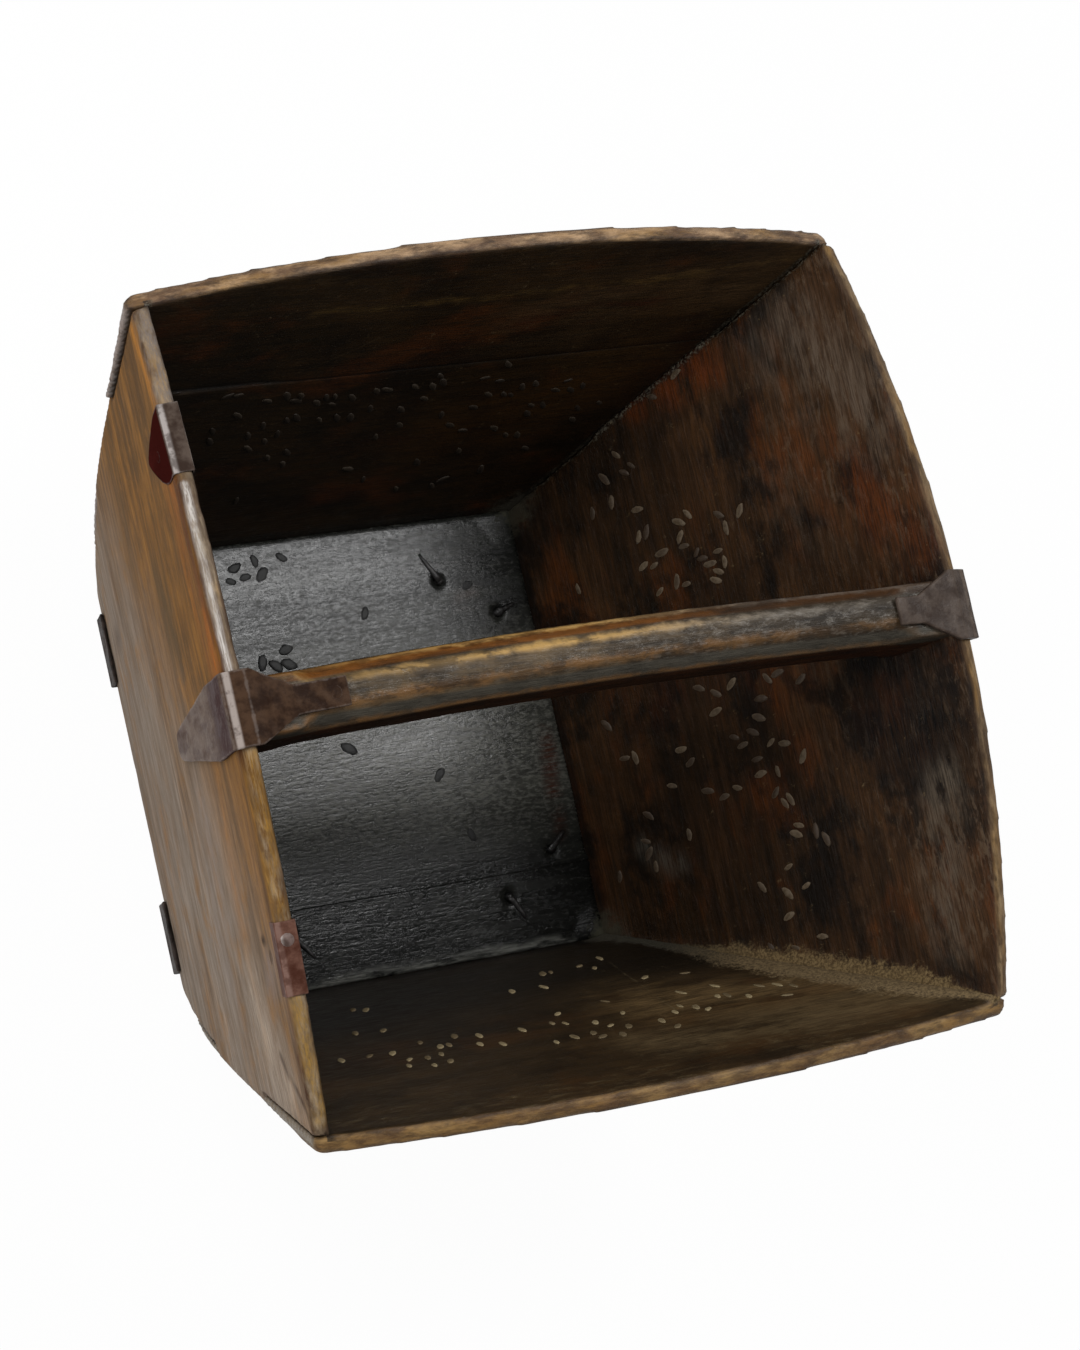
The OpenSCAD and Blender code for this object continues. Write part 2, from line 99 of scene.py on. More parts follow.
def lattice(ix, iy, iz, seed):
    h = (ix * 374761393 + iy * 668265263 + iz * 1440662683 + seed * 1013904223) & 0xFFFFFFFF
    h = ((h ^ (h >> 13)) * 1274126177) & 0xFFFFFFFF
    return ((h ^ (h >> 16)) & 0xFFFF) / 32767.5 - 1


def cloud(points, size, seed, octaves):  # smooth noise from -1 to 1, size in millimetres, one or one for each axis
    total, weight = 0, 0
    for octave in range(octaves):
        q = points / np.array(size) * 2**octave + 1000.5
        cell = np.floor(q).astype(np.int64)
        f = q - cell
        f = f * f * (3 - 2 * f)
        level = 0
        for dx in (0, 1):
            for dy in (0, 1):
                for dz in (0, 1):
                    share = (f[:, 0] if dx else 1 - f[:, 0]) * (f[:, 1] if dy else 1 - f[:, 1])
                    share = share * (f[:, 2] if dz else 1 - f[:, 2])
                    level = level + share * lattice(cell[:, 0] + dx, cell[:, 1] + dy, cell[:, 2] + dz, seed + octave)
        total = total + level * 0.5**octave
        weight += 0.5**octave
    return total / weight


def readPoints(piece):
    flat = np.empty(len(piece.data.vertices) * 3)
    piece.data.vertices.foreach_get("co", flat)
    return flat.reshape(-1, 3) * 1000


def readNormals(piece):
    flat = np.empty(len(piece.data.vertices) * 3)
    piece.data.vertex_normals.foreach_get("vector", flat)
    return flat.reshape(-1, 3)


def writePoints(piece, points):
    piece.data.vertices.foreach_set("co", (points / 1000).ravel())
    piece.data.update()
    piece.data.shade_smooth()


def keepValue(piece, name, values):
    kind, key = ("FLOAT", "value") if values.ndim == 1 else ("FLOAT_VECTOR", "vector")
    layer = piece.data.attributes.new(name, kind, "POINT")
    layer.data.foreach_set(key, values.astype(np.float32).ravel())


def newPiece(name, bm):
    mesh = bpy.data.meshes.new(name)
    bm.to_mesh(mesh)
    bm.free()
    piece = bpy.data.objects.new(name, mesh)
    scene.collection.objects.link(piece)
    return piece


def smoothMesh(mesh, factors):
    bm = bmesh.new()
    bm.from_mesh(mesh)
    for factor in factors:
        bmesh.ops.smooth_vert(bm, verts=bm.verts, factor=factor, use_axis_x=True, use_axis_y=True, use_axis_z=True)
    bm.to_mesh(mesh)
    bm.free()


wornGrid = {"sharp": 0.35, "step": 0.0008, "weld": 1e-6, "inset": 0.25}  # angle, metres, metres, share of the grid


def wornCopy(node, name, grid, smooth):  # even dense copy of a CAD node, and its points' distance to an arris
    bm = bmesh.new()
    bm.from_mesh(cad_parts[node].data)
    bmesh.ops.remove_doubles(bm, verts=bm.verts, dist=wornGrid["weld"])
    arris = []
    for e in bm.edges:
        if len(e.link_faces) == 2 and e.calc_face_angle(0) > wornGrid["sharp"]:
            a, b = e.verts[0].co, e.verts[1].co
            steps = max(1, int((b - a).length / wornGrid["step"]))
            arris += [a.lerp(b, i / steps) for i in range(steps + 1)]
    tree = KDTree(len(arris))
    for i, co in enumerate(arris):
        tree.insert(co, i)
    tree.balance()
    piece = newPiece(name, bm)
    remesh = piece.modifiers.new("grid", "REMESH")
    remesh.mode = "VOXEL"
    remesh.voxel_size = grid / 1000
    dense = bpy.data.meshes.new_from_object(piece.evaluated_get(bpy.context.evaluated_depsgraph_get()))
    piece.modifiers.clear()
    piece.data = dense
    smoothMesh(dense, (0.5, -0.5) * smooth + (0.4,))  # takes out the steps of the grid and keeps the volume
    gap = np.array([tree.find(v.co)[2] for v in dense.vertices]) * 1000
    gap = np.maximum(gap - wornGrid["inset"] * grid, 0)
    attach(piece, "root")
    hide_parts(node)
    return piece, gap, readPoints(piece), readNormals(piece)


def dress(piece, material):
    piece.data.materials.clear()
    piece.data.materials.append(material)


# the planks bulge a little outside between rim and foot, and their corners are rubbed round at the foot
bodyWear = {"belly": 4.2, "bellyTop": 0.85, "footRound": 14.0, "footRise": 45.0, "rimRound": 2.0}


def bellyOut(points):
    t = np.clip((points[:, 2] - boxShape["footZ"]) / (boxShape["rimZ"] - boxShape["footZ"]), 0, 1)
    bulge = bodyWear["belly"] * np.abs(np.sin(math.pi * t ** bodyWear["bellyTop"])) ** 1.3
    moved = points.copy()
    for side in wallSide:
        depth = wallPlace(points, side)[2]
        moved += wallAxes(side)[2] * (bulge * ease(1.5, 4.6, depth))[:, None]
    return moved


def footRound(points):
    moved = points.copy()
    rise = np.clip((points[:, 2] - boxShape["footZ"]) / bodyWear["footRise"], 0, 1)
    radius = bodyWear["rimRound"] + (bodyWear["footRound"] - bodyWear["rimRound"]) * (1 - rise) ** 2
    for a in ("left", "right"):
        for b in ("front", "back"):
            ea = radius - (boxShape["thick"] - wallPlace(points, a)[2])
            eb = radius - (boxShape["thick"] - wallPlace(points, b)[2])
            reach = np.hypot(ea, eb)
            extra = np.where((ea > 0) & (eb > 0), np.maximum(reach - radius, 0), 0) / np.maximum(reach, 0.001)
            moved -= wallAxes(a)[2] * (extra * ea)[:, None] + wallAxes(b)[2] * (extra * eb)[:, None]
    return moved


# shader helpers
def put(tree, kind, inputs=None, **settings):
    made = tree.nodes.new(kind)
    for key, value in settings.items():
        setattr(made, key, value)
    for key, value in (inputs or {}).items():
        feed(tree, value, made.inputs[key])
    return made


def feed(tree, value, socket):
    if isinstance(value, bpy.types.NodeSocket):
        tree.links.new(value, socket)
    elif value is not None:
        socket.default_value = value


def calc(tree, op, a, b=None, c=None, clamp=False):
    made = put(tree, "ShaderNodeMath", operation=op, use_clamp=clamp)
    for i, value in enumerate((a, b, c)):
        feed(tree, value, made.inputs[i])
    return made.outputs[0]


def times(tree, a, b):
    return calc(tree, "MULTIPLY", a, b)


def timesPlus(tree, a, b, c):
    return calc(tree, "MULTIPLY_ADD", a, b, c)


def tint(text):  # written colour to a linear one
    shares = [int(text[i:i + 2], 16) / 255 for i in (0, 2, 4)]
    return tuple(c / 12.92 if c <= 0.04045 else ((c + 0.055) / 1.055) ** 2.4 for c in shares) + (1.0,)


def blendColor(tree, factor, a, b, share=None):  # a and b are sockets or written colours
    if share is not None:
        factor = times(tree, factor, share)
    made = put(tree, "ShaderNodeMix", data_type="RGBA", clamp_factor=True)
    for i, value in ((0, factor), (6, a), (7, b)):
        feed(tree, tint(value) if isinstance(value, str) else value, made.inputs[i])
    return made.outputs[2]


def blendValue(tree, factor, a, b):
    made = put(tree, "ShaderNodeMix", data_type="FLOAT", clamp_factor=True)
    for i, value in ((0, factor), (2, a), (3, b)):
        feed(tree, value, made.inputs[i])
    return made.outputs[0]


def span(tree, value, low, high, toLow=0.0, toHigh=1.0):
    made = put(tree, "ShaderNodeMapRange", interpolation_type="SMOOTHSTEP")
    for i, v in enumerate((value, low, high, toLow, toHigh)):
        feed(tree, v, made.inputs[i])
    return made.outputs[0]


def speckle(tree, vector, scale, detail=2.0, rough=0.5, distortion=0.0):
    made = put(tree, "ShaderNodeTexNoise", {"Vector": vector, "Scale": scale, "Detail": detail, "Roughness": rough,
                                            "Distortion": distortion})
    return made.outputs["Fac"]


def newGroup(name, inputs, outputs):
    tree = bpy.data.node_groups.new(name, "ShaderNodeTree")
    for label, kind, value in inputs:
        socket = tree.interface.new_socket(label, in_out="INPUT", socket_type="NodeSocket" + kind)
        if value is not None:
            socket.default_value = value
    for label in outputs:
        tree.interface.new_socket(label, in_out="OUTPUT", socket_type="NodeSocketFloat")
    return tree, tree.nodes.new("NodeGroupInput").outputs, tree.nodes.new("NodeGroupOutput").inputs


def useGroup(tree, group, **inputs):
    made = put(tree, "ShaderNodeGroup", node_tree=group)
    for key, value in inputs.items():
        feed(tree, value, made.inputs[key])
    return made.outputs


# long streaks and fine fibres; the vector is stretched along the grain first
grainFigure, gIn, gOut = newGroup("grainFigure", [("Vector", "Vector", None)], ["Streak", "Fibre", "Height"])
streak = speckle(grainFigure, gIn["Vector"], 1.0, 5.0, 0.62, 0.35)
fibre = speckle(grainFigure, gIn["Vector"], 7.0, 3.0, 0.7)
feed(grainFigure, span(grainFigure, streak, 0.3, 0.7), gOut["Streak"])
feed(grainFigure, span(grainFigure, fibre, 0.32, 0.68), gOut["Fibre"])
feed(grainFigure, timesPlus(grainFigure, fibre, 0.7, times(grainFigure, streak, 0.5)), gOut["Height"])

# soft-edged patches
patches, gIn, gOut = newGroup("patches", [("Vector", "Vector", None), ("Scale", "Float", 30.0), ("Low", "Float", 0.45),
                                          ("High", "Float", 0.65), ("Detail", "Float", 3.0)], ["Mask"])
feed(patches, span(patches, speckle(patches, gIn["Vector"], gIn["Scale"], gIn["Detail"], 0.68, 0.2), gIn["Low"],
                   gIn["High"]), gOut["Mask"])

# wear that starts at an arris and ends raggedly; gap and reach in millimetres
edgeRub, gIn, gOut = newGroup("edgeRub", [("Vector", "Vector", None), ("Gap", "Float", 10.0), ("Reach", "Float", 2.0),
                                          ("Ragged", "Float", 2.0), ("Scale", "Float", 120.0)], ["Mask"])
ragged = calc(edgeRub, "SUBTRACT", speckle(edgeRub, gIn["Vector"], gIn["Scale"], 3.0, 0.65), 0.5)
ragged = timesPlus(edgeRub, ragged, times(edgeRub, gIn["Ragged"], 4.0), gIn["Gap"])
feed(edgeRub, span(edgeRub, ragged, gIn["Reach"], 0.0), gOut["Mask"])

# one line between two points: a crack, a scribed line, a scratch
lineMark, gIn, gOut = newGroup("lineMark", [("Vector", "Vector", None), ("From", "Vector", None),
                                            ("To", "Vector", None), ("Width", "Float", 0.001),
                                            ("Ragged", "Float", 0.002)], ["Mask"])


def vectorCalc(tree, op, a, b=None, scale=None):
    made = put(tree, "ShaderNodeVectorMath", operation=op)
    feed(tree, a, made.inputs[0])
    feed(tree, b, made.inputs[1])
    if scale is not None:
        feed(tree, scale, made.inputs["Scale"])
    return made.outputs["Value" if op in ("DOT_PRODUCT", "LENGTH") else "Vector"]


wander = put(lineMark, "ShaderNodeTexNoise", {"Vector": gIn["Vector"], "Scale": 60.0, "Detail": 3.0}).outputs["Color"]
wander = vectorCalc(lineMark, "SCALE", vectorCalc(lineMark, "SUBTRACT", wander, (0.5, 0.5, 0.5)), scale=gIn["Ragged"])
toPoint = vectorCalc(lineMark, "SUBTRACT", vectorCalc(lineMark, "ADD", gIn["Vector"], wander), gIn["From"])
toEnd = vectorCalc(lineMark, "SUBTRACT", gIn["To"], gIn["From"])
share = calc(lineMark, "DIVIDE", vectorCalc(lineMark, "DOT_PRODUCT", toPoint, toEnd),
             vectorCalc(lineMark, "DOT_PRODUCT", toEnd, toEnd), clamp=True)
away = vectorCalc(lineMark, "LENGTH",
                  vectorCalc(lineMark, "SUBTRACT", toPoint, vectorCalc(lineMark, "SCALE", toEnd, scale=share)))
feed(lineMark, span(lineMark, away, gIn["Width"], 0.0), gOut["Mask"])

# scale and rust of forged iron
forgedSkin, gIn, gOut = newGroup("forgedSkin", [("Vector", "Vector", None)], ["Rust", "Sheen", "Height"])
lump = speckle(forgedSkin, gIn["Vector"], 140.0, 4.0, 0.6)
pit = speckle(forgedSkin, gIn["Vector"], 700.0, 3.0, 0.65)
feed(forgedSkin, span(forgedSkin, speckle(forgedSkin, gIn["Vector"], 90.0, 5.0, 0.7, 0.4), 0.42, 0.66), gOut["Rust"])
feed(forgedSkin, span(forgedSkin, lump, 0.35, 0.65), gOut["Sheen"])
feed(forgedSkin, timesPlus(forgedSkin, pit, 0.5, lump), gOut["Height"])
print("node groups made:", len(bpy.data.node_groups))


def newMaterial(name, gleam=0.5):
    mat = bpy.data.materials.new(name)
    mat.use_nodes = True
    tree = mat.node_tree
    shader = tree.nodes["Principled BSDF"]
    shader.inputs["Specular IOR Level"].default_value = gleam
    place = put(tree, "ShaderNodeTexCoord").outputs["Object"]
    return mat, tree, shader, place


def stretched(tree, place, scale):
    return put(tree, "ShaderNodeMapping", {"Vector": place, "Scale": scale}).outputs[0]


def patchy(tree, place, scale, size, low, high, detail=3.0):
    place = stretched(tree, place, scale)
    return useGroup(tree, patches, Vector=place, Scale=size, Low=low, High=high, Detail=detail)["Mask"]


def drawn(run, least, share):  # a scale that stretches a pattern along the grain
    return tuple(least + c * share for c in run)


def frayed(tree, place, gap, reach, ragged, scale):
    return useGroup(tree, edgeRub, Vector=place, Gap=gap, Reach=reach, Ragged=ragged, Scale=scale)["Mask"]


def parts(tree, vector):
    return put(tree, "ShaderNodeSeparateXYZ", {"Vector": vector}).outputs


def stored(tree, name):
    return put(tree, "ShaderNodeAttribute", attribute_name=name).outputs


def storedParts(tree, name):
    return parts(tree, stored(tree, name)["Vector"])


def layers(tree, color, *coats):  # each coat: mask, colour, and its share where it isn't whole
    for mask, shade, *share in coats:
        color = blendColor(tree, mask, color, shade, *share)
    return color


def addUp(tree, total, *rows):  # each row: value, share
    for value, share in rows:
        total = timesPlus(tree, value, share, total)
    return total


def finishSkin(tree, shader, color, rough, height, strength, distance):
    bump = put(tree, "ShaderNodeBump", {"Height": height, "Strength": strength, "Distance": distance})
    for key, value in (("Base Color", color), ("Roughness", rough), ("Normal", bump.outputs[0])):
        feed(tree, value, shader.inputs[key])


def mm(point):
    return tuple(float(c) / 1000 for c in point)


def onRim(side, along, drop, depth):  # a place on a plank, measured down from its arched rim
    return onWall(side, along, rimArch(side, along) - drop, depth)


def rimMark(along, drop, toAlong, toDrop, depth, *look):  # a mark on the left plank
    return (onRim("left", along, drop, depth), onRim("left", toAlong, toDrop, depth), *look)


def addMarks(tree, place, along, fibre, color, marks):  # broken up along the grain and by its fibres
    texture = span(tree, fibre, 0.1, 0.9, 1.0, 0.35)
    for start, end, width, ragged, shade, strength, grain in marks:
        near = useGroup(tree, lineMark, Vector=place, From=mm(start), To=mm(end), Width=width / 1000,
                        Ragged=ragged / 1000)["Mask"]
        low = 0.56 - 0.24 * strength
        broken = useGroup(tree, patches, Vector=along, Scale=grain, Low=low, High=low + 0.22, Detail=8.0)["Mask"]
        mask = times(tree, times(tree, near, broken), times(tree, texture, strength))
        color = blendColor(tree, mask, color, shade)
    return color


# plank wood: dark and oiled inside, with painted shade deeper down and along the inner seams, golden and weathered
# outside, rubbed at the rim
plankLooks = {
    "left": {
        "grain": "y", "depthShade": 0.0, "soot": 0.3, "crumbs": 0.0, "shine": 0.06, "scuffReach": 40.0, "greyLow": 0.24,
        "inDark": "150d07", "inMid": "2c1c10", "inRed": "40210c", "scuff": "4e4034",
        "outDark": "4a3620", "outMid": "98692f", "outGrey": "7c7064", "outPale": "9a8d80",
        "rimDark": "3c2a20", "rimMid": "6c5a46", "rimPale": "a79780", "endTone": "5c5150",
    },
    "right": {
        "grain": "y", "depthShade": 0.3, "soot": 0.85, "crumbs": 0.9, "shine": 0.13, "scuffReach": 110.0, "greyLow": 0.27,
        "inDark": "1e1308", "inMid": "5a3c22", "inRed": "703a12", "scuff": "5e4c3a",
        "outDark": "4a3620", "outMid": "936834", "outGrey": "74685c", "outPale": "928474",
        "rimDark": "3a2a1c", "rimMid": "66503a", "rimPale": "a08866", "endTone": "5c5150",
    },
    "front": {
        "grain": "x", "depthShade": 0.8, "soot": 0.45, "crumbs": 0.3, "shine": 0.36, "scuffReach": 70.0, "greyLow": 0.27,
        "inDark": "2a1f11", "inMid": "4a3720", "inRed": "4a2e12", "scuff": "5e5038",
        "outDark": "4a3620", "outMid": "936834", "outGrey": "74685c", "outPale": "928474",
        "rimDark": "3c2a1a", "rimMid": "664a2c", "rimPale": "a08050", "endTone": "6a5c48",
    },
    # the back plank's inside colours are darker than the others': painted shade over the wood's dark brown
    "back": {
        "grain": "x", "depthShade": 0.0, "soot": 0.6, "crumbs": 0.8, "shine": 0.36, "scuffReach": 60.0, "greyLow": 0.27,
        "inDark": "191107", "inMid": "3c2913", "inRed": "5c2f10", "scuff": "3c2e1c",
        "outDark": "4a3620", "outMid": "936834", "outGrey": "74685c", "outPale": "928474",
        "rimDark": "22160f", "rimMid": "664c36", "rimPale": "c4a27c", "endTone": "82746c",
    },
}
grime = {"soot": "0c0805", "depthShade": "13100b", "streak": "a06c30", "gilt": "a67e42", "crumbs": "6a6456",
         "dustTan": "86714f", "dustDark": "574730", "dustLow": "3d392e"}
# stains, scratches and rubbed places, and a few painted shadows and highlights: both ends in millimetres, width,
# raggedness, colour, strength, break-up
plankMarks = {
    "left": [
        rimMark(-60, 62, -36, 60, 7, 18, 10, "51422c", 0.85, 40),
        rimMark(-110, 90, -70, 100, 7, 16, 14, "4c3c26", 0.8, 50),
        rimMark(30, 70, 90, 80, 7, 30, 20, "857a72", 0.8, 50),
        rimMark(20, 44, 70, 52, 7, 14, 10, "96683a", 0.7, 60),
        rimMark(98, 54, 132, 28, 7, 26, 16, "ab9c8c", 0.85, 50),
        rimMark(-86, 12, -16, 11, 7, 15, 7, "a45c18", 1.0, 45),
        rimMark(-86, 4, -14, 4, 7, 8, 5, "3c160c", 0.75, 110),
        rimMark(18, 0, 84, 0, 3.2, 6.5, 2, "a87e38", 1.0, 120),
        rimMark(18, 0, 84, 0, 3.2, 6.5, 3, "54361a", 0.85, 420),
        rimMark(102, 0, 146, 0, 3.2, 6.0, 2, "a07c3c", 0.8, 120),
        rimMark(15, 1.5, 140, 1.5, 6.9, 5.0, 2, "38180f", 1.0, 30),
        rimMark(-150, 0, -108, 0, 2, 9, 3, "7d736c", 0.95, 300),
        rimMark(-146, 6, -112, 4, 7, 5.0, 3, "b0742a", 0.95, 90),
        rimMark(-84, 0, -14, 0, 1, 5.5, 3, "5e4e42", 0.85, 300),
        # painted highlight along the rim's outer arris
        rimMark(-84, 0, -14, 0, 4.4, 2.3, 1.2, "d8d2cc", 1.0, 30),
        rimMark(93, 2, 93, 20, 7, 15, 3, "857a78", 1.0, 30),
        rimMark(80, 22, 80, 24, 7, 3.4, 2, "1c100c", 1.0, 20),
        rimMark(-130, 50, -95, 155, 7, 1.2, 2, "a07238", 0.9, 60),
        ((-118, -101, 58), (-149, -129, 139), 1.2, 1.5, "a87a40", 0.9, 60),
        ((-157, -121, 159), (-167, -154, 186), 3.4, 5.0, "2c1a12", 0.95, 60),
        rimMark(-56, 160, -55, 188, 7, 9, 5, "32180f", 0.85, 60),
        rimMark(60, 176, 62, 190, 7, 10, 5, "32201a", 0.85, 60),
    ],
    "right": [
        # near-black patch under the handle's end, this and the next: painted shadow of the handle
        ((150, -14, 162), (158, -46, 182), 30, 14, "080504", 1.0, 12),
        ((146, -30, 150), (154, -58, 172), 22, 14, "0a0605", 1.0, 12),
        ((120, 118, 84), (134, 120, 118), 15, 14, "6e330d", 0.85, 110),
        ((140, 121, 134), (158, 124, 166), 13, 14, "4c2810", 0.7, 110),
        ((150, 66, 164), (160, 34, 184), 24, 20, "60300f", 0.85, 110),
        ((150, 120, 158), (158, 84, 182), 30, 22, "66584a", 0.85, 130),
        ((138, 70, 140), (146, 40, 150), 16, 20, "4c4034", 0.6, 120),
        ((155, -66, 178), (149, -126, 167), 17, 14, "64584a", 0.85, 200),
        ((106, -60, 46), (110, -70, 58), 9, 9, "55524a", 0.7, 160),
        ((108, 0, 52), (140, -4, 134), 20, 26, "3a1c0c", 0.6, 80),
    ],
    "front": [
        ((20, -142, 150), (130, -144, 156), 32, 26, "6e5c40", 0.85, 70),
        ((50, -124, 106), (124, -134, 128), 46, 26, "765f3e", 0.85, 60),
        ((-90, -108, 64), (-20, -104, 52), 30, 30, "171310", 0.7, 60),
        ((73, -102, 48), (47, -131, 122), 0.6, 3, "75684e", 0.7, 60),
        # dark pits near the rim's ends, this and the next: painted shade of the hollows
        ((-129, -150, 169), (-122, -150, 168), 4, 3, "1c1610", 0.8, 90),
        ((128, -150, 171), (133, -150, 171), 3, 3, "1c1610", 0.8, 90),
        ((96, -120, 96), (126, -136, 132), 20, 24, "4e2c14", 0.5, 90),
    ],
    "back": [
        ((30, 142, 150), (140, 146, 158), 36, 20, "4e3a24", 0.85, 60),
        ((30, 114, 80), (96, 122, 102), 36, 20, "40290f", 0.85, 60),
        ((-78, 147, 164), (105, 148, 165), 3.6, 10, "5a4522", 0.85, 200),
        ((60, 148, 165), (162, 150, 171), 2.4, 7, "5e4828", 0.85, 200),
        ((-57, 135, 132), (-37, 140, 145), 0.6, 2, "4a3c28", 0.8, 60),
        # painted highlight along the seam of the back boards
        ((-115, 131, 122), (-70, 131, 123), 0.8, 1, "5c5044", 0.8, 90),
        ((30, 140, 146), (90, 142, 150), 9, 14, "3c140a", 0.7, 90),
        ((-20, 112, 80), (60, 112, 82), 14, 20, "33180a", 0.6, 90),
    ],
}


# patterns along the grain: least scale, share of the grain's own, size, low, high, detail
plankPatterns = {
    "broad": (8, 0.06, 1.3, 0.35, 0.65, 4.0), "flecks": (90, 2.4, 1.0, 0.5, 0.66, 5.0),
    "red": (14, 0.15, 1.0, 0.52, 0.7, 3.0), "soot": (20, 0.08, 1.2, 0.46, 0.62, 8.0),
    "mottle": (22, 0.3, 1.0, 0.44, 0.62, 7.0), "stain": (30, 0.25, 1.1, 0.52, 0.68, 7.0),
    "rimSpots": (60, 2.2, 1.0, 0.42, 0.64, 7.0), "rimTone": (40, 1.0, 1.0, 0.36, 0.7, 7.0),
    "gilt": (15, 0.5, 1.0, 0.46, 0.62, 6.0),
}


def makePlankWood(side):
    look = plankLooks[side]
    mat, tree, shader, place = newMaterial("plankWood_" + side, look["shine"])
    run = (125.0, 6.0, 125.0) if look["grain"] == "y" else (6.0, 125.0, 125.0)
    streak, fibre, height = useGroup(tree, grainFigure, Vector=stretched(tree, place, drawn(run, 0, 2.0)))
    rimGap, depth, seamGap = storedParts(tree, "wearPlace")
    dustLaid, endGrain, weather = storedParts(tree, "coverPlace")
    edgeGap = stored(tree, "edgeGap")["Fac"]
    spots = {key: patchy(tree, place, drawn(run, *sizes[:2]), *sizes[2:]) for key, sizes in plankPatterns.items()}
    broad, flecks = spots["broad"], spots["flecks"]
    # inside, growing darker deeper down the box: painted shade
    scuffed = times(tree, times(tree, flecks, broad), span(tree, rimGap, look["scuffReach"], 0.0))
    inside = blendColor(tree, blendValue(tree, 0.45, broad, streak), look["inDark"], look["inMid"])
    inside = layers(tree, inside, (spots["red"], look["inRed"], 0.65), (fibre, look["inDark"], 0.7),
                    (spots["soot"], grime["soot"], look["soot"]), (scuffed, look["scuff"], 0.85),
                    (span(tree, rimGap, 70.0, 150.0, 0.0, look["depthShade"]), grime["depthShade"]))
    # outside
    grey = patchy(tree, place, drawn(run, 7, 0.16), 1.5, look["greyLow"], look["greyLow"] + 0.4, 7.0)
    grey = times(tree, span(tree, grey, 0.0, 1.0, 0.4, 1.0), weather)
    weathered = blendColor(tree, streak, look["outGrey"], look["outPale"])
    outside = blendColor(tree, span(tree, streak, 0.0, 1.0, 0.3, 0.9), look["outDark"], look["outMid"])
    outside = layers(tree, outside, (broad, look["outDark"], 0.35),
                     (span(tree, streak, 0.8, 1.0, 0.0, 0.35), grime["streak"]),
                     (spots["mottle"], look["outDark"], 0.6), (grey, weathered),
                     (spots["stain"], look["outMid"], 0.5), (fibre, look["outDark"], 0.5))
    # rim
    isOut = span(tree, depth, 2.5, 4.5)
    endTone = blendColor(tree, flecks, look["endTone"], look["outDark"])
    rim = blendColor(tree, spots["rimTone"], look["rimMid"], look["rimPale"])
    rim = layers(tree, rim, (spots["gilt"], grime["gilt"], 0.45), (spots["rimSpots"], look["rimDark"], 0.65))
    drawnOut = stretched(tree, place, tuple(0.25 if c < 50 else 1.0 for c in run))
    onTop = frayed(tree, drawnOut, rimGap, 1.8, 0.5, 140.0)
    outerArris = times(tree, calc(tree, "MAXIMUM", isOut, span(tree, rimGap, 3.0, 1.0)),
                       frayed(tree, drawnOut, edgeGap, 1.2, 0.9, 170.0))
    outerArris = times(tree, outerArris, span(tree, endGrain, 0.0, 1.0, 0.75, 0.2))
    color = layers(tree, inside, (isOut, outside), (endGrain, endTone, 0.9), (onTop, rim),
                   (outerArris, look["rimDark"]))
    color = addMarks(tree, place, drawnOut, fibre, color, plankMarks[side])
    # dark joints and painted shade along the inner seams and corners, and dust on top of them
    toBack, rise = parts(tree, place)[1:]
    grit, clump = speckle(tree, place, 900.0, 3.0, 0.7), speckle(tree, place, 240.0, 4.0, 0.65)
    seamShade = frayed(tree, place, seamGap, 3.0, 1.5, 110.0)
    crumbs = frayed(tree, place, seamGap, 2.4, 0.9, 260.0)
    crumbs = times(tree, crumbs, span(tree, grit, 0.46, 0.6, 0.0, look["crumbs"]))
    crumbs = times(tree, crumbs, span(tree, toBack, 0.088, 0.1))
    ragged = times(tree, calc(tree, "SUBTRACT", grit, 0.5), 0.7)
    ragged = timesPlus(tree, calc(tree, "SUBTRACT", clump, 0.5), 1.2, ragged)
    dust = span(tree, calc(tree, "ADD", ragged, dustLaid), 0.15, 0.65)
    dustTone = blendColor(tree, span(tree, grit, 0.35, 0.65), grime["dustDark"], grime["dustTan"])
    dustTone = blendColor(tree, span(tree, rise, 0.09, 0.04), dustTone, grime["dustLow"])
    color = layers(tree, color, (seamShade, grime["soot"], 0.75), (crumbs, grime["crumbs"]), (dust, dustTone, 0.92))
    rough = blendValue(tree, flecks, blendValue(tree, fibre, 0.34, 0.5), 0.36)
    for mask, value in ((isOut, 0.7), (onTop, 0.55), (dust, 0.95)):
        rough = blendValue(tree, mask, rough, value)
    dents = speckle(tree, place, 170.0, 5.0, 0.65)
    height = addUp(tree, height, (dents, 0.9), (flecks, 0.25), (dust, 0.25))
    finishSkin(tree, shader, color, rough, height, 0.5, 0.0007)
    return mat


plankPieces = {  # node, side, seed
    "leftPlank": ("left_wall", "left", 3),
    "rightPlank": ("right_wall", "right", 11),
    "frontPlank": ("front_wall", "front", 23),
    "backPlankUpper": ("back_wall_upper", "back", 37),
    "backPlankLower": ("back_wall_lower", "back", 41),
}
plankWear = {
    "grid": 1.3, "smooth": 5, "relax": 3, "fillet": 2.4, "boardEnd": 2.0, "lap": 1.8,
    "rub": 0.45, "rubReach": 1.7, "rubSize": 17, "chip": 0.7, "chipReach": 2.2, "chipSize": 9,
    "ripple": 0.2, "rippleSize": 60,
}
plankMats = {side: makePlankWood(side) for side in plankLooks}


def seamDistance(points, skip):  # to the other inner faces and the floor, seen from inside the box
    gaps = [-wallPlace(points, side)[2] for side in wallSide if side != skip]
    gaps.append(points[:, 2] - boxShape["baseTop"])
    return np.clip(np.min(gaps, axis=0), 0, farGap)


dustWear = {"seed": 29, "reach": 4.5, "swell": 14.0, "clump": 14, "corner": 15.0, "backCorner": 17.0, "backShare": 0.8}


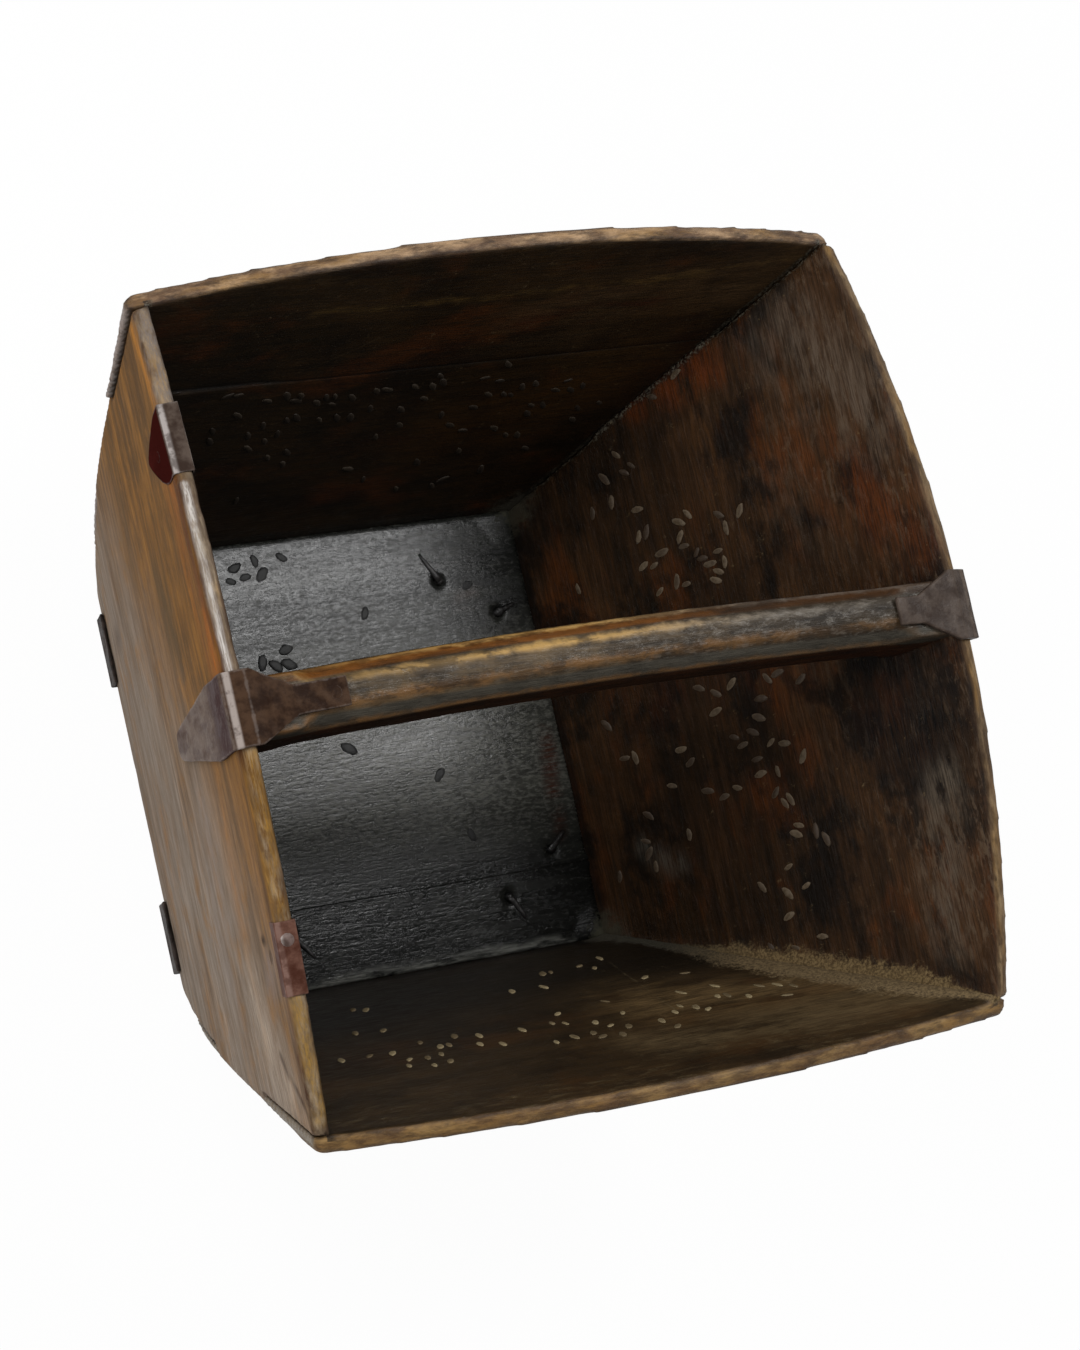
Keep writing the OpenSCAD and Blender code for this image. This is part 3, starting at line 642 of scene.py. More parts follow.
def dustBed(points):  # dust caked along the seam of the front and right planks, widest half way up
    right, front, rise = -wallPlace(points, "right")[2], -wallPlace(points, "front")[2], points[:, 2]
    reach = dustWear["reach"] + dustWear["swell"] * ease(40.0, 95.0, rise) * ease(180.0, 145.0, rise)
    reach = reach * (1.0 + 0.25 * cloud(points, dustWear["clump"], dustWear["seed"], 2))
    bed = np.clip(1.15 - np.hypot(right, front * 2.2) / reach, 0, 1)
    back, high = wallPlace(points, "back")[2], rise - boxShape["baseTop"]
    corner = np.clip(1 - np.hypot(np.hypot(right, front), high) / dustWear["corner"], 0, 1)
    other = np.clip(1 - np.hypot(np.hypot(right, back), high) / dustWear["backCorner"], 0, 1)
    return np.maximum(np.maximum(bed, corner), dustWear["backShare"] * other)


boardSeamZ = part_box("back_wall_upper")[0][2] * 1000
for name, (node, side, seed) in plankPieces.items():
    piece, edgeGap, points, normals = wornCopy(node, name, plankWear["grid"], plankWear["smooth"])
    along, up, depth = wallPlace(points, side)
    rimGap = np.clip(rimArch(side, along) - up, 0, 250)
    inner = ease(3.5, 1.5, depth)
    others = ("front", "back") if side in ("left", "right") else ("left", "right")
    beyond = np.max([wallPlace(points, other)[2] for other in others], axis=0)
    seamGap = np.where((depth < 3) & (beyond < 1.5), seamDistance(points, side), farGap)
    dust = dustBed(points) * inner
    ends = ease(5.6, 6.6, beyond)
    keepValue(piece, "wearPlace", np.stack([rimGap, depth, seamGap], 1))
    weather = ease(15.0, 130.0, rimGap + (0.55 * along if side == "left" else 0.0))
    keepValue(piece, "coverPlace", np.stack([dust, ends, weather], 1))
    keepValue(piece, "edgeGap", np.minimum(edgeGap, farGap))
    rub = 0.5 + 0.5 * cloud(points, plankWear["rubSize"], seed, 2)
    rub = np.exp(-(edgeGap / plankWear["rubReach"]) ** 2) * rub
    chip = ease(0.3, 0.75, cloud(points, plankWear["chipSize"], seed + 5, 2))
    chip = np.exp(-(edgeGap / plankWear["chipReach"]) ** 2) * chip
    exposed = np.where(seamGap < 4, 0.25, 1.0)
    if side == "back":
        flush = (np.abs(points[:, 2] - boardSeamZ) < 6) * ease(-95.0, -60.0, points[:, 0])
        exposed = exposed * (1 - 0.9 * flush)
    moved = points - normals * (exposed * (plankWear["rub"] * rub + plankWear["chip"] * chip))[:, None]
    ripple = cloud(points, plankWear["rippleSize"], seed + 9, 2) * ease(1.0, 6.0, rimGap) * ease(1.0, 5.0, edgeGap)
    moved += normals * (plankWear["ripple"] * ripple)[:, None]
    moved -= wallAxes(side)[2] * (plankWear["fillet"] * dust ** 2)[:, None]
    if name == "backPlankUpper":  # its inner face is flush with the lower board, its left end stands proud
        lap = ease(5.0, 1.0, points[:, 2] - boardSeamZ) * ease(-85.0, -60.0, points[:, 0]) * inner
        moved -= wallAxes(side)[1] * (plankWear["lap"] * lap)[:, None] + wallAxes(side)[2] * (0.15 * lap)[:, None]
        proud = ease(3.0, 5.8, wallPlace(points, "left")[2])
        moved += wallAxes("left")[2] * (plankWear["boardEnd"] * proud)[:, None]
    writePoints(piece, footRound(bellyOut(moved)))
    smoothMesh(piece.data, (0.5,) * plankWear["relax"])  # what is left of the grid along the arrises
    dress(piece, plankMats[side])
    print("plank", name, len(piece.data.polygons), "faces")

# base boards: blackened and satin, with painted shade darker towards the front, nail points clenched over and dust in
# two corners
boardLook = {"dark": "121312", "mid": "2c2d29", "pale": "4e4e48", "dust": "4c4a3c", "shade": "0a0a09", "worn": "6c6b63",
             "gleam": 0.24, "grid": 1.15, "smooth": 3, "crown": 1.5, "crownHalf": 90.0, "rub": 0.4, "rubReach": 1.5,
             "wave": 0.3, "dustRise": 1.8}
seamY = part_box("base_board_back")[0][1] * 1000


def crownDrop(y):
    return boardLook["crown"] * (y / boardLook["crownHalf"]) ** 2


# clenched nail points: place, heading in degrees, length
clenched = {
    "strapUnderBackNails": {"node": "base_strap_back_nails",
                            "nails": [(53.2, 64.2, 120, 14), (78.2, 48.2, 20, 9), (-78.2, 48.2, 160, 9)]},
    "strapUnderFrontNails": {"node": "base_strap_front_nails",
                             "nails": [(53.2, -67.2, -60, 11), (-53.2, -67.2, -50, 14), (78.2, -51.2, 40, 10),
                                       (-78.2, -51.2, 140, 9)]},
}
topZ = boxShape["baseTop"]
boardMarks = [
    ((87, -4, topZ), (84, -46, topZ), 6, 6, "3e2016", 0.85, 70),
    ((-94, seamY, topZ), (94, seamY, topZ), 0.7, 2, "090908", 0.6, 40),
    # painted highlight along the seam of the boards
    ((72, -57, topZ), (91, -56, topZ), 0.8, 1, "7a7870", 0.8, 60),
    ((62, 55, topZ), (68, 57, topZ), 7, 6, "4a3a32", 0.6, 70),
    ((-92, -89, topZ - 1), (78, -89, topZ - 1), 4.5, 4, "75756f", 0.85, 320),
]
# dark pits round the clenched nail points: painted shade of the hollows
for spec in clenched.values():
    for x, y, heading, length in spec["nails"]:
        if x > -70:
            t = math.radians(heading)
            tip = (x + length * math.cos(t), y + length * math.sin(t), topZ)
            boardMarks.append(((x, y, topZ), tip, 4.2, 4, "070706", 0.9, 20))


def makeBaseWood():
    look = boardLook
    mat, tree, shader, place = newMaterial("baseWood", look["gleam"])
    streak, fibre, height = useGroup(tree, grainFigure, Vector=stretched(tree, place, (8.0, 140.0, 140.0)))
    pores = speckle(tree, stretched(tree, place, (330.0, 800.0, 800.0)), 1.0, 4.0, 0.7)
    bands = speckle(tree, stretched(tree, place, (14.0, 150.0, 150.0)), 1.0, 4.0, 0.62)
    broad = patchy(tree, place, (10.0, 26.0, 26.0), 1.0, 0.35, 0.65, 4.0)
    wiped = patchy(tree, place, (9.0, 75.0, 75.0), 1.0, 0.36, 0.64, 6.0)
    ahead = parts(tree, place)[1]
    worn = times(tree, span(tree, ahead, -0.055, -0.02, 0.0, 0.4), span(tree, ahead, 0.055, 0.02))
    worn = times(tree, worn, span(tree, pores, 0.4, 0.62, 0.35, 1.25))
    color = blendColor(tree, blendValue(tree, 0.5, streak, broad), look["dark"], look["mid"])
    # the third coat, darker towards the front, is painted shade
    color = layers(tree, color, (span(tree, pores, 0.52, 0.68, 0.0, 0.6), look["pale"]),
                   (span(tree, bands, 0.6, 0.42, 0.0, 0.7), look["dark"]),
                   (span(tree, ahead, -0.03, -0.075, 0.0, 0.6), look["shade"]), (worn, look["worn"]))
    color = addMarks(tree, place, stretched(tree, place, (0.3, 1.0, 1.0)), fibre, color, boardMarks)
    grit = speckle(tree, place, 520.0, 3.0, 0.7)
    dust = timesPlus(tree, calc(tree, "SUBTRACT", grit, 0.5), 1.3, stored(tree, "dustLaid")["Fac"])
    dust = span(tree, dust, 0.3, 0.8)
    color = blendColor(tree, dust, color, look["dust"], 0.8)
    rough = span(tree, timesPlus(tree, broad, 0.03, ahead), -0.08, 0.07, 0.115, 0.175)
    rough = addUp(tree, rough, (wiped, 0.14), (calc(tree, "SUBTRACT", pores, 0.5), 0.8),
                  (calc(tree, "SUBTRACT", 0.5, bands), 0.3))
    rough = blendValue(tree, dust, calc(tree, "MAXIMUM", rough, 0.1), 0.9)
    cupped = calc(tree, "POWER", times(tree, calc(tree, "MINIMUM", ahead, 0.0), -1.0), 2.0)
    dents = speckle(tree, place, 190.0, 4.0, 0.6)
    height = addUp(tree, height, (pores, 1.2), (dents, 1.0), (bands, 0.4), (cupped, -3000.0))
    finishSkin(tree, shader, color, rough, height, 0.28, 0.0004)
    return mat


baseWood = makeBaseWood()
for name, node, seed in (("baseBoardBack", "base_board_back", 51), ("baseBoardFront", "base_board_front", 57)):
    piece, edgeGap, points, normals = wornCopy(node, name, boardLook["grid"], boardLook["smooth"])
    top = ease(14.0, 19.0, points[:, 2])
    dust = dustBed(points) * top
    keepValue(piece, "dustLaid", dust)
    offSeam = ease(1.0, 4.0, np.abs(points[:, 1] - seamY))
    rub = boardLook["rub"] * np.exp(-(edgeGap / boardLook["rubReach"]) ** 2)
    rub = rub * (1 + cloud(points, 15, seed, 2))
    moved = points - normals * (rub * offSeam)[:, None]
    level = np.where(points[:, 2] > 18.6, boxShape["baseTop"], points[:, 2])
    moved[:, 2] += (level - moved[:, 2]) * (1 - offSeam)  # the boards meet flush
    moved[:, 2] -= top * crownDrop(points[:, 1])
    moved[:, 2] += top * boardLook["wave"] * cloud(points, (80, 30, 60), 53, 2)
    moved[:, 2] += boardLook["dustRise"] * dust
    writePoints(piece, moved)
    dress(piece, baseWood)
    print("board", name, len(piece.data.polygons), "faces")

# handle: faceted bar, hand polished, golden along its upper arris, with a painted silver highlight towards its right
# end and painted shade underneath
handleLook = {
    "topDark": "231c14", "topMid": "64533c", "gold": "cda462", "rust": "8c6234", "orange": "84501c",
    "orangeDark": "33200f", "slate": "544f45", "slateDark": "36322b", "under": "1c100a", "underRed": "40220f",
    "silverGlint": "958d82",
    "flat": 7.0, "arris": -6.5, "grid": 0.95, "smooth": 3, "bow": 3.0, "bowHalf": 150.0,
    "rub": 0.7, "rubReach": 2.2, "lump": 0.4, "gleam": 0.3,
}


def makeHandleWood():
    look = handleLook
    mat, tree, shader, place = newMaterial("handleWood", look["gleam"])
    streak, fibre, relief = useGroup(tree, grainFigure, Vector=stretched(tree, place, (14.0, 260.0, 260.0)))
    across, height, lengthwise = storedParts(tree, "barPlace")
    edgeGap = stored(tree, "edgeGap")["Fac"]
    mottle = patchy(tree, place, (45.0, 110.0, 110.0), 1.0, 0.4, 0.62, 5.0)
    flecks = patchy(tree, place, (160.0, 420.0, 420.0), 1.0, 0.48, 0.64, 4.0)
    dents = speckle(tree, stretched(tree, place, (120.0, 240.0, 240.0)), 1.0, 5.0, 0.65)
    figure = blendValue(tree, 0.5, mottle, streak)
    # its faces
    atRight = span(tree, lengthwise, -20.0, 90.0)
    # silver flecks on the top towards the right end: painted highlight
    silverGlint = times(tree, flecks, span(tree, lengthwise, -40.0, 60.0, 0.1, 0.25))
    top = blendColor(tree, figure, look["topDark"], look["topMid"])
    top = layers(tree, top, (atRight, look["topDark"], 0.7), (silverGlint, look["silverGlint"]))
    backFace = blendColor(tree, figure, look["orangeDark"], look["orange"])
    backFace = blendColor(tree, atRight, backFace, look["topDark"], 0.75)
    frontFace = blendColor(tree, blendValue(tree, 0.5, mottle, fibre), look["slateDark"], look["slate"])
    low = blendColor(tree, figure, look["under"], look["underRed"])
    flat, arris = look["flat"], look["arris"]
    # the lowest band of the bar is near black: painted shade on its underside, over a red-brown tone
    color = layers(tree, top, (span(tree, across, flat - 0.6, flat + 0.6), backFace),
                   (span(tree, across, -flat + 0.6, -flat - 0.6), frontFace),
                   (span(tree, height, arris - 0.5, arris - 2.5), low))
    # its rubbed arrises
    upper = times(tree, span(tree, across, 1.0, 5.0), span(tree, lengthwise, 120.0, 20.0, 0.6, 1.0))
    upper = times(tree, upper, span(tree, lengthwise, -130.0, -30.0, 0.4, 1.0))
    lower = times(tree, span(tree, across, -8.0, -11.0), span(tree, height, -9.0, -7.0, 0.0, 0.75))
    middle = times(tree, span(tree, across, 2.0, -3.0), span(tree, height, -6.0, -2.0, 0.0, 0.6))
    gold = calc(tree, "MAXIMUM", upper, calc(tree, "MAXIMUM", lower, middle))
    for mask in (frayed(tree, place, edgeGap, 3.4, 1.6, 110.0), span(tree, mottle, 0.0, 0.7, 0.35, 1.0),
                 span(tree, lengthwise, 20.0, 110.0, 1.0, 0.6)):
        gold = times(tree, gold, mask)
    # the rubbed arrises are gold wear, turning into a painted silver highlight towards the right end
    rubAndGlintTone = layers(tree, look["gold"], (atRight, look["silverGlint"]), (span(tree, across, 1.0, -3.0), look["rust"]))
    color = blendColor(tree, gold, color, rubAndGlintTone, 0.9)
    rough = blendValue(tree, flecks, blendValue(tree, fibre, 0.36, 0.6), 0.28)
    finishSkin(tree, shader, color, rough, timesPlus(tree, dents, 1.2, relief), 0.5, 0.0008)
    return mat


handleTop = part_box("handle")[1][2] * 1000
piece, edgeGap, points, normals = wornCopy("handle", "handleBar", handleLook["grid"], handleLook["smooth"])
keepValue(piece, "barPlace", np.stack([points[:, 1], points[:, 2] - handleTop, points[:, 0]], 1))
keepValue(piece, "edgeGap", np.minimum(edgeGap, farGap))


def handleBow(points):  # the bar is not quite straight
    moved = points.copy()
    moved[:, 1] += handleLook["bow"] * np.clip(1 - (points[:, 0] / handleLook["bowHalf"]) ** 2, 0, 1)
    return moved


rub = np.exp(-(edgeGap / handleLook["rubReach"]) ** 2) * (0.7 + 0.5 * cloud(points, (26, 12, 12), 61, 2))
moved = points - normals * (handleLook["rub"] * rub)[:, None]
lump = cloud(points, (45, 14, 14), 63, 3) * ease(0.0, 3.0, edgeGap)
moved += normals * (handleLook["lump"] * lump)[:, None]
writePoints(piece, handleBow(moved))
dress(piece, makeHandleWood())
print("handle", len(piece.data.polygons), "faces")

# forged iron: outside leaf, bend over the rim with a painted highlight on its arris, and what lies inside
ironLooks = {
    "strapIron": {"leaf": "66584f", "leafDark": "4a3a33", "bend": "331a18", "shine": "a69a93", "inside": "4c382a",
                  "insideDark": "2c1d15", "rough": (0.45, 0.66), "metal": 0.0, "gleam": 0.04},
    "strapRightIron": {"leaf": "544840", "leafDark": "352a24", "bend": "42362e", "shine": "605348", "inside": "544840",
                       "insideDark": "382c25", "rough": (0.45, 0.66), "metal": 0.0, "gleam": 0.2},
    "clipBackIron": {"leaf": "3a1512", "leafDark": "260d0b", "bend": "32110e", "shine": "aca4a0", "inside": "5a4e46",
                     "insideDark": "3a2e28", "rough": (0.5, 0.7), "metal": 0.0, "gleam": 0.0},
    "clipFrontIron": {"leaf": "5c463e", "leafDark": "3c2a26", "bend": "4e342c", "shine": "7e6258", "inside": "6e4e42",
                      "insideDark": "46281e", "rough": (0.5, 0.7), "metal": 0.0, "gleam": 0.05},
    "baseIron": {"leaf": "3c3430", "leafDark": "1e1a18", "bend": "2c2624", "shine": "6a625c", "inside": "2c2826",
                 "insideDark": "1a1817", "rough": (0.5, 0.72), "metal": 0.0, "gleam": 0.05},
    "nailIron": {"leaf": "2c2a29", "leafDark": "0f0e0e", "bend": "2c2a29", "shine": "8a8682", "inside": "2c2a29",
                 "insideDark": "0f0e0e", "rough": (0.28, 0.5), "metal": 0.2, "gleam": 0.5},
    "paleNailIron": {"leaf": "7c6a64", "leafDark": "46302a", "bend": "7c6a64", "shine": "b0a6a0", "inside": "7c6a64",
                     "insideDark": "4c3c36", "rough": (0.45, 0.6), "metal": 0.0, "gleam": 0.2},
}


def makeIron(name):
    look = ironLooks[name]
    mat, tree, shader, place = newMaterial(name, look["gleam"])
    shader.inputs["Metallic"].default_value = look["metal"]
    rust, sheen, height = useGroup(tree, forgedSkin, Vector=place)
    drop, depth, edge = storedParts(tree, "ironPlace")
    streaks = speckle(tree, stretched(tree, place, (45.0, 140.0, 45.0)), 1.0, 4.0, 0.6)
    leaf = blendColor(tree, span(tree, streaks, 0.35, 0.62), look["leafDark"], look["leaf"])
    leaf = blendColor(tree, span(tree, timesPlus(tree, rust, 8.0, drop), 34.0, 17.0), leaf, look["bend"])
    inside = blendColor(tree, sheen, look["insideDark"], look["inside"])
    # shine: a painted highlight on the arris where the iron bends over the rim; the frayed edges get a touch of it
    overRim = times(tree, span(tree, drop, 1.5, 0.0), span(tree, depth, -1.5, 0.5))
    onArris = times(tree, span(tree, depth, 4.6, 5.8), span(tree, depth, 8.4, 7.2))
    shine = times(tree, times(tree, overRim, onArris), span(tree, sheen, 0.0, 0.6, 0.35, 1.0))
    bright = frayed(tree, place, edge, 0.8, 0.5, 240.0)
    color = layers(tree, inside, (span(tree, depth, 5.0, 6.5), leaf), (overRim, inside), (shine, look["shine"]),
                   (bright, look["shine"], 0.2))
    finishSkin(tree, shader, color, blendValue(tree, rust, *look["rough"]), height, 0.6, 0.0008)
    return mat


ironMats = {name: makeIron(name) for name in ironLooks}
ironPieces = {  # node, side, look, slot, grid
    "strapLeft": ("handle_strap_left", "left", "strapIron", "strap_iron", 0.55),
    "strapRight": ("handle_strap_right", "right", "strapRightIron", "strap_iron", 0.55),
    "clipBack": ("rim_clip_back", "left", "clipBackIron", "clip_iron", 0.45),
    "clipFront": ("rim_clip_front", "left", "clipFrontIron", "clip_iron", 0.45),
    "strapUnderBack": ("base_strap_back", "left", "baseIron", "base_iron", 0.8),
    "strapUnderFront": ("base_strap_front", "left", "baseIron", "base_iron", 0.8),
    "strapLeftNails": ("handle_strap_left_nails", "left", "strapIron", "nail_iron", 0.3),
    "strapRightNails": ("handle_strap_right_nails", "right", "strapRightIron", "nail_iron", 0.3),
    "clipBackNail": ("rim_clip_back_nails", "left", "clipBackIron", "nail_iron", 0.3),
    "clipFrontNails": ("rim_clip_front_nails", "left", "paleNailIron", "nail_iron", 0.3),
}
ironWear = {"smooth": 4, "lump": 0.2, "nailLump": 0.06, "press": 0.35, "point": 0.75, "hookPress": 0.6, "hookLump": 1.1,
            "flush": 0.75, "lowest": 0.02}


def pressed(points, side, share):  # hammered closer to the plank where it stands proud of it
    along, up, depth = wallPlace(points, side)
    over = np.clip(up - rimArch(side, np.clip(along, -150, 150)), 0, 3)
    out = np.clip(depth - boxShape["thick"], 0, 5) + np.clip(depth, -3, 0)
    a, u, o, corner = wallAxes(side)
    return points - u * ((1 - share) * over)[:, None] - o * ((1 - share) * out)[:, None]


for i, (name, (node, side, look, slot, grid)) in enumerate(ironPieces.items()):
    piece, edgeGap, points, normals = wornCopy(node, name, grid, ironWear["smooth"])
    along, up, depth = wallPlace(points, side)
    drop = rimArch(side, np.clip(along, -150, 150)) - up
    keepValue(piece, "ironPlace", np.stack([drop, depth, np.minimum(edgeGap, farGap)], 1))
    amount = ironWear["nailLump"] if "nails" in node else ironWear["lump"]
    if node in ("base_strap_back", "base_strap_front"):
        amount = amount + ironWear["hookLump"] * ease(8.0, 16.0, points[:, 2])
    moved = points + normals * (amount * cloud(points, 9, 71 + i, 2))[:, None]
    if node.startswith("rim_clip"):
        moved = pressed(moved, side, ironWear["press"])
        middle = (along.min() + along.max()) / 2
        narrow = ironWear["point"] * ease(6.0, 40.0, drop) * (depth > 5)
        moved -= wallAxes(side)[0] * (narrow * (along - middle))[:, None]
    if node.startswith("base_strap"):
        for end in ("left", "right"):
            proud = np.clip(wallPlace(moved, end)[2] - boxShape["thick"], 0, 6)
            moved = moved - wallAxes(end)[2] * ((1 - ironWear["hookPress"]) * proud)[:, None]
    if node.startswith("handle_strap") and "nails" in node:
        head = np.clip(depth - boxShape["thick"] - 2.0, 0, 2)
        moved = moved - wallAxes(side)[2] * (ironWear["flush"] * head)[:, None]
        lift = np.clip(points[:, 2] - handleTop - 2.0, 0, 2) * (depth < 0)
        moved[:, 2] -= ironWear["flush"] * lift
    moved = bellyOut(moved)
    if depth.min() < -8 and not node.startswith("base_strap"):
        moved = moved + (handleBow(points) - points) * ease(0.0, -8.0, depth)[:, None]
    moved[:, 2] = np.maximum(moved[:, 2], ironWear["lowest"])
    writePoints(piece, moved)
    dress(piece, ironMats[look])
print("iron pieces", len(ironPieces))

# clenched nail, in metres: radii, lengths, and heights over the floor
nailShape = {"head": 0.003, "shank": 0.0015, "tip": 0.0005, "headLength": 0.003, "shankLength": 0.0185,
             "shankMiddle": 0.01175, "bend": 0.0206, "lie": 0.0207, "flat": (1, 1.15, 0.7, 1), "segments": 12}


def makeClenched(bm, x, y, heading, length):
    n, raised = nailShape, lambda along, height: Matrix.Translation((along, 0, height))
    turn = Matrix.Translation((x / 1000, y / 1000, 0)) @ Matrix.Rotation(math.radians(heading), 4, "Z")
    flatten = Matrix.Diagonal(n["flat"])
    laid = raised(length / 2000, n["lie"]) @ flatten @ Matrix.Rotation(math.radians(90), 4, "Y")
    for first, last, depth, place in (
        (n["head"], n["shank"], n["headLength"], raised(0, n["headLength"] / 2)),
        (n["shank"], n["shank"], n["shankLength"], raised(0, n["shankMiddle"])),
        (n["shank"], n["tip"], length / 1000, laid),
    ):
        bmesh.ops.create_cone(bm, cap_ends=True, segments=n["segments"], radius1=first, radius2=last, depth=depth,
                              matrix=turn @ place)
    bmesh.ops.create_icosphere(bm, subdivisions=2, radius=n["shank"], matrix=turn @ raised(0, n["bend"]) @ flatten)


for name, spec in clenched.items():
    bm = bmesh.new()
    for x, y, heading, length in spec["nails"]:
        makeClenched(bm, x, y, heading, length)
    bmesh.ops.subdivide_edges(bm, edges=[e for e in bm.edges if e.calc_length() > 0.003], cuts=4, use_grid_fill=True)
    piece = newPiece(name, bm)
    points = readPoints(piece)
    shake = np.stack([cloud(points, 4, 90 + i, 2) for i in range(3)], 1)
    moved = points + 0.2 * shake * ease(20.0, 20.6, points[:, 2])[:, None]
    moved[:, 2] -= crownDrop(points[:, 1]) * ease(14.0, 19.0, points[:, 2])
    keepValue(piece, "ironPlace", np.tile([farGap, 0.0, farGap], (len(points), 1)))
    writePoints(piece, moved)
    piece.data.materials.append(ironMats["nailIron"])
    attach(piece, "root")
    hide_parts(spec["node"])
print("clenched nails", sum(len(s["nails"]) for s in clenched.values()))

# grain husks left on the inner walls: along and up in millimetres, turn in degrees
huskPlaces = {
    "right": [(122, -79, 64), (116, -92, 113), (98, -115, 136), (92, -109, 133), (90, -113, 120), (90, -123, 144),
              (80, -122, 12), (74, -111, 91), (78, -132, 10), (61, -64, 34), (66, -88, 145), (62, -74, 125),
              (64, -93, 118), (56, -72, 179), (64, -109, 25), (63, -113, 24), (58, -94, 33), (54, -93, 90),
              (50, -88, 42), (48, -78, 84), (54, -104, 79), (43, -76, 8), (47, -86, 94), (44, -83, 88),
              (51, -114, 64), (50, -109, 68), (40, -80, 114), (41, -100, 17), (37, -82, 115), (39, -96, 84),
              (50, -147, 173), (39, -109, 55), (-6, -64, 77), (-11, -54, 61), (-7, -69, 143), (-5, -86, 51),
              (-3, -101, 115), (-7, -94, 128), (-14, -74, 97), (-14, -96, 75), (-21, -77, 118), (-7, -148, 144),
              (-26, -81, 119), (-26, -90, 113), (-32, -74, 61), (-34, -68, 102), (-30, -87, 80), (-25, -116, 91),
              (-23, -138, 170), (-41, -61, 34), (-22, -143, 92), (-37, -82, 89), (-31, -113, 62), (-44, -74, 176),
              (-43, -82, 83), (-52, -77, 46), (-38, -124, 107), (-46, -94, 112), (-44, -108, 105), (-56, -71, 157),
              (-48, -101, 81), (-57, -74, 152), (-47, -138, 132), (-67, -70, 111), (-71, -63, 3), (-59, -121, 4),
              (-70, -72, 120), (-75, -59, 161), (-57, -142, 115), (-62, -142, 39), (-68, -140, 8), (-82, -79, 70),
              (-68, -158, 14), (-91, -73, 66), (-87, -93, 150), (-92, -82, 145), (-101, -84, 71), (-112, -71, 101),
              (-112, -95, 157), (-114, -84, 120)],
    "back": [(-38, -64, 46), (-7, -67, 41), (-31, -72, 173), (-76, -80, 165), (-40, -75, 7), (-11, -72, 50),
             (-54, -81, 58), (-60, -80, 52), (-86, -85, 58), (-7, -74, 52), (2, -73, 40), (92, -66, 149),
             (15, -73, 22), (-73, -86, 23), (-81, -87, 38), (20, -73, 52), (-39, -84, 33), (-47, -85, 45),
             (-51, -86, 45), (87, -66, 170), (63, -70, 54), (56, -71, 61), (43, -74, 61), (30, -76, 46),
             (-7, -82, 28), (39, -74, 58), (71, -72, 22), (57, -74, 17), (46, -77, 43), (-102, -99, 33),
             (38, -79, 22), (-66, -95, 32), (-72, -96, 51), (-36, -92, 24), (17, -85, 61), (1, -88, 44),
             (-92, -101, 48), (-22, -95, 67), (-67, -101, 47), (81, -80, 38), (24, -90, 63), (51, -86, 49),
             (31, -89, 55), (55, -87, 52), (39, -89, 51), (-94, -109, 43), (65, -89, 68), (-4, -99, 43),
             (-30, -103, 29), (-55, -109, 37), (-39, -108, 9), (88, -89, 58), (55, -96, 70), (-64, -115, 52),
             (-70, -116, 57), (69, -95, 64), (4, -106, 61), (59, -100, 60), (86, -96, 52), (65, -104, 38),
             (-80, -127, 36), (-45, -123, 57), (44, -110, 47), (52, -112, 54), (-27, -128, 51), (42, -118, 60),
             (7, -127, 19), (-64, -139, 65), (-5, -136, 72), (-47, -143, 145), (-44, -147, 59), (-26, -146, 58),
             (53, -141, 86)],
    "front": [(73, -146, 107), (59, -141, 149), (62, -135, 127), (44, -140, 119), (86, -107, 7), (40, -140, 122),
              (69, -111, 144), (104, -71, 82), (108, -66, 93), (28, -123, 95), (83, -84, 79), (97, -74, 72),
              (14, -125, 120), (66, -84, 80), (78, -70, 104), (74, -71, 119), (84, -64, 114), (97, -56, 15),
              (34, -91, 64), (53, -68, 95), (57, -63, 118), (59, -58, 140), (-52, -139, 130), (-48, -136, 130),
              (46, -62, 110), (29, -73, 126), (8, -87, 138), (34, -55, 116), (12, -68, 120), (-2, -77, 110),
              (2, -74, 98), (14, -61, 149), (19, -56, 123), (34, -45, 137), (-60, -107, 132), (-17, -76, 101),
              (2, -56, 121), (-71, -110, 122), (10, -48, 115), (-35, -79, 112), (-7, -56, 99), (-43, -84, 122),
              (2, -50, 148), (-59, -84, 125), (-17, -54, 112), (-35, -64, 105), (-52, -75, 114), (-42, -69, 113),
              (-56, -75, 124), (-76, -78, 130), (-62, -66, 116), (-85, -80, 145), (-69, -65, 121), (-76, -67, 138),
              (-97, -81, 115), (-65, -56, 128), (-81, -60, 116), (-73, -55, 120)],
}
huskLook = {
    "length": 6.6, "width": 3.0, "rise": 0.4, "dentLength": 7.8, "dentWidth": 4.6, "dentRise": 0.3,
    # husks are coloured wall by wall, darkest on the back plank and palest on the front: partly their own tone, partly
    # painted shade and light
    "right": {"ring": "6c5d49", "core": "54442f", "under": "2c1c10"},
    "back": {"ring": "33291c", "core": "291f13", "under": "1c1208"},
    "front": {"ring": "9c8c6a", "core": "8a7a5a", "under": "4a3a24"},
    "base": {"ring": "0e0e0d", "core": "181816", "under": "131312"},
}
# grain dents pressed into the base: x, y, turn
dentPlaces = [(-42, 80, 20), (-32, 82, 100), (-19, 82, 150), (-45, 75, 160), (-38, 76, 10), (-30, 76, 40),
              (-39, 41, 70), (-33, 39, 140), (-27, 45, 10), (-27, 39, 160), (14, 55, 60), (66, 61, 20),
              (-8, 2, 150), (32, -14, 40), (-60, -8, 30), (41, -40, 110)]


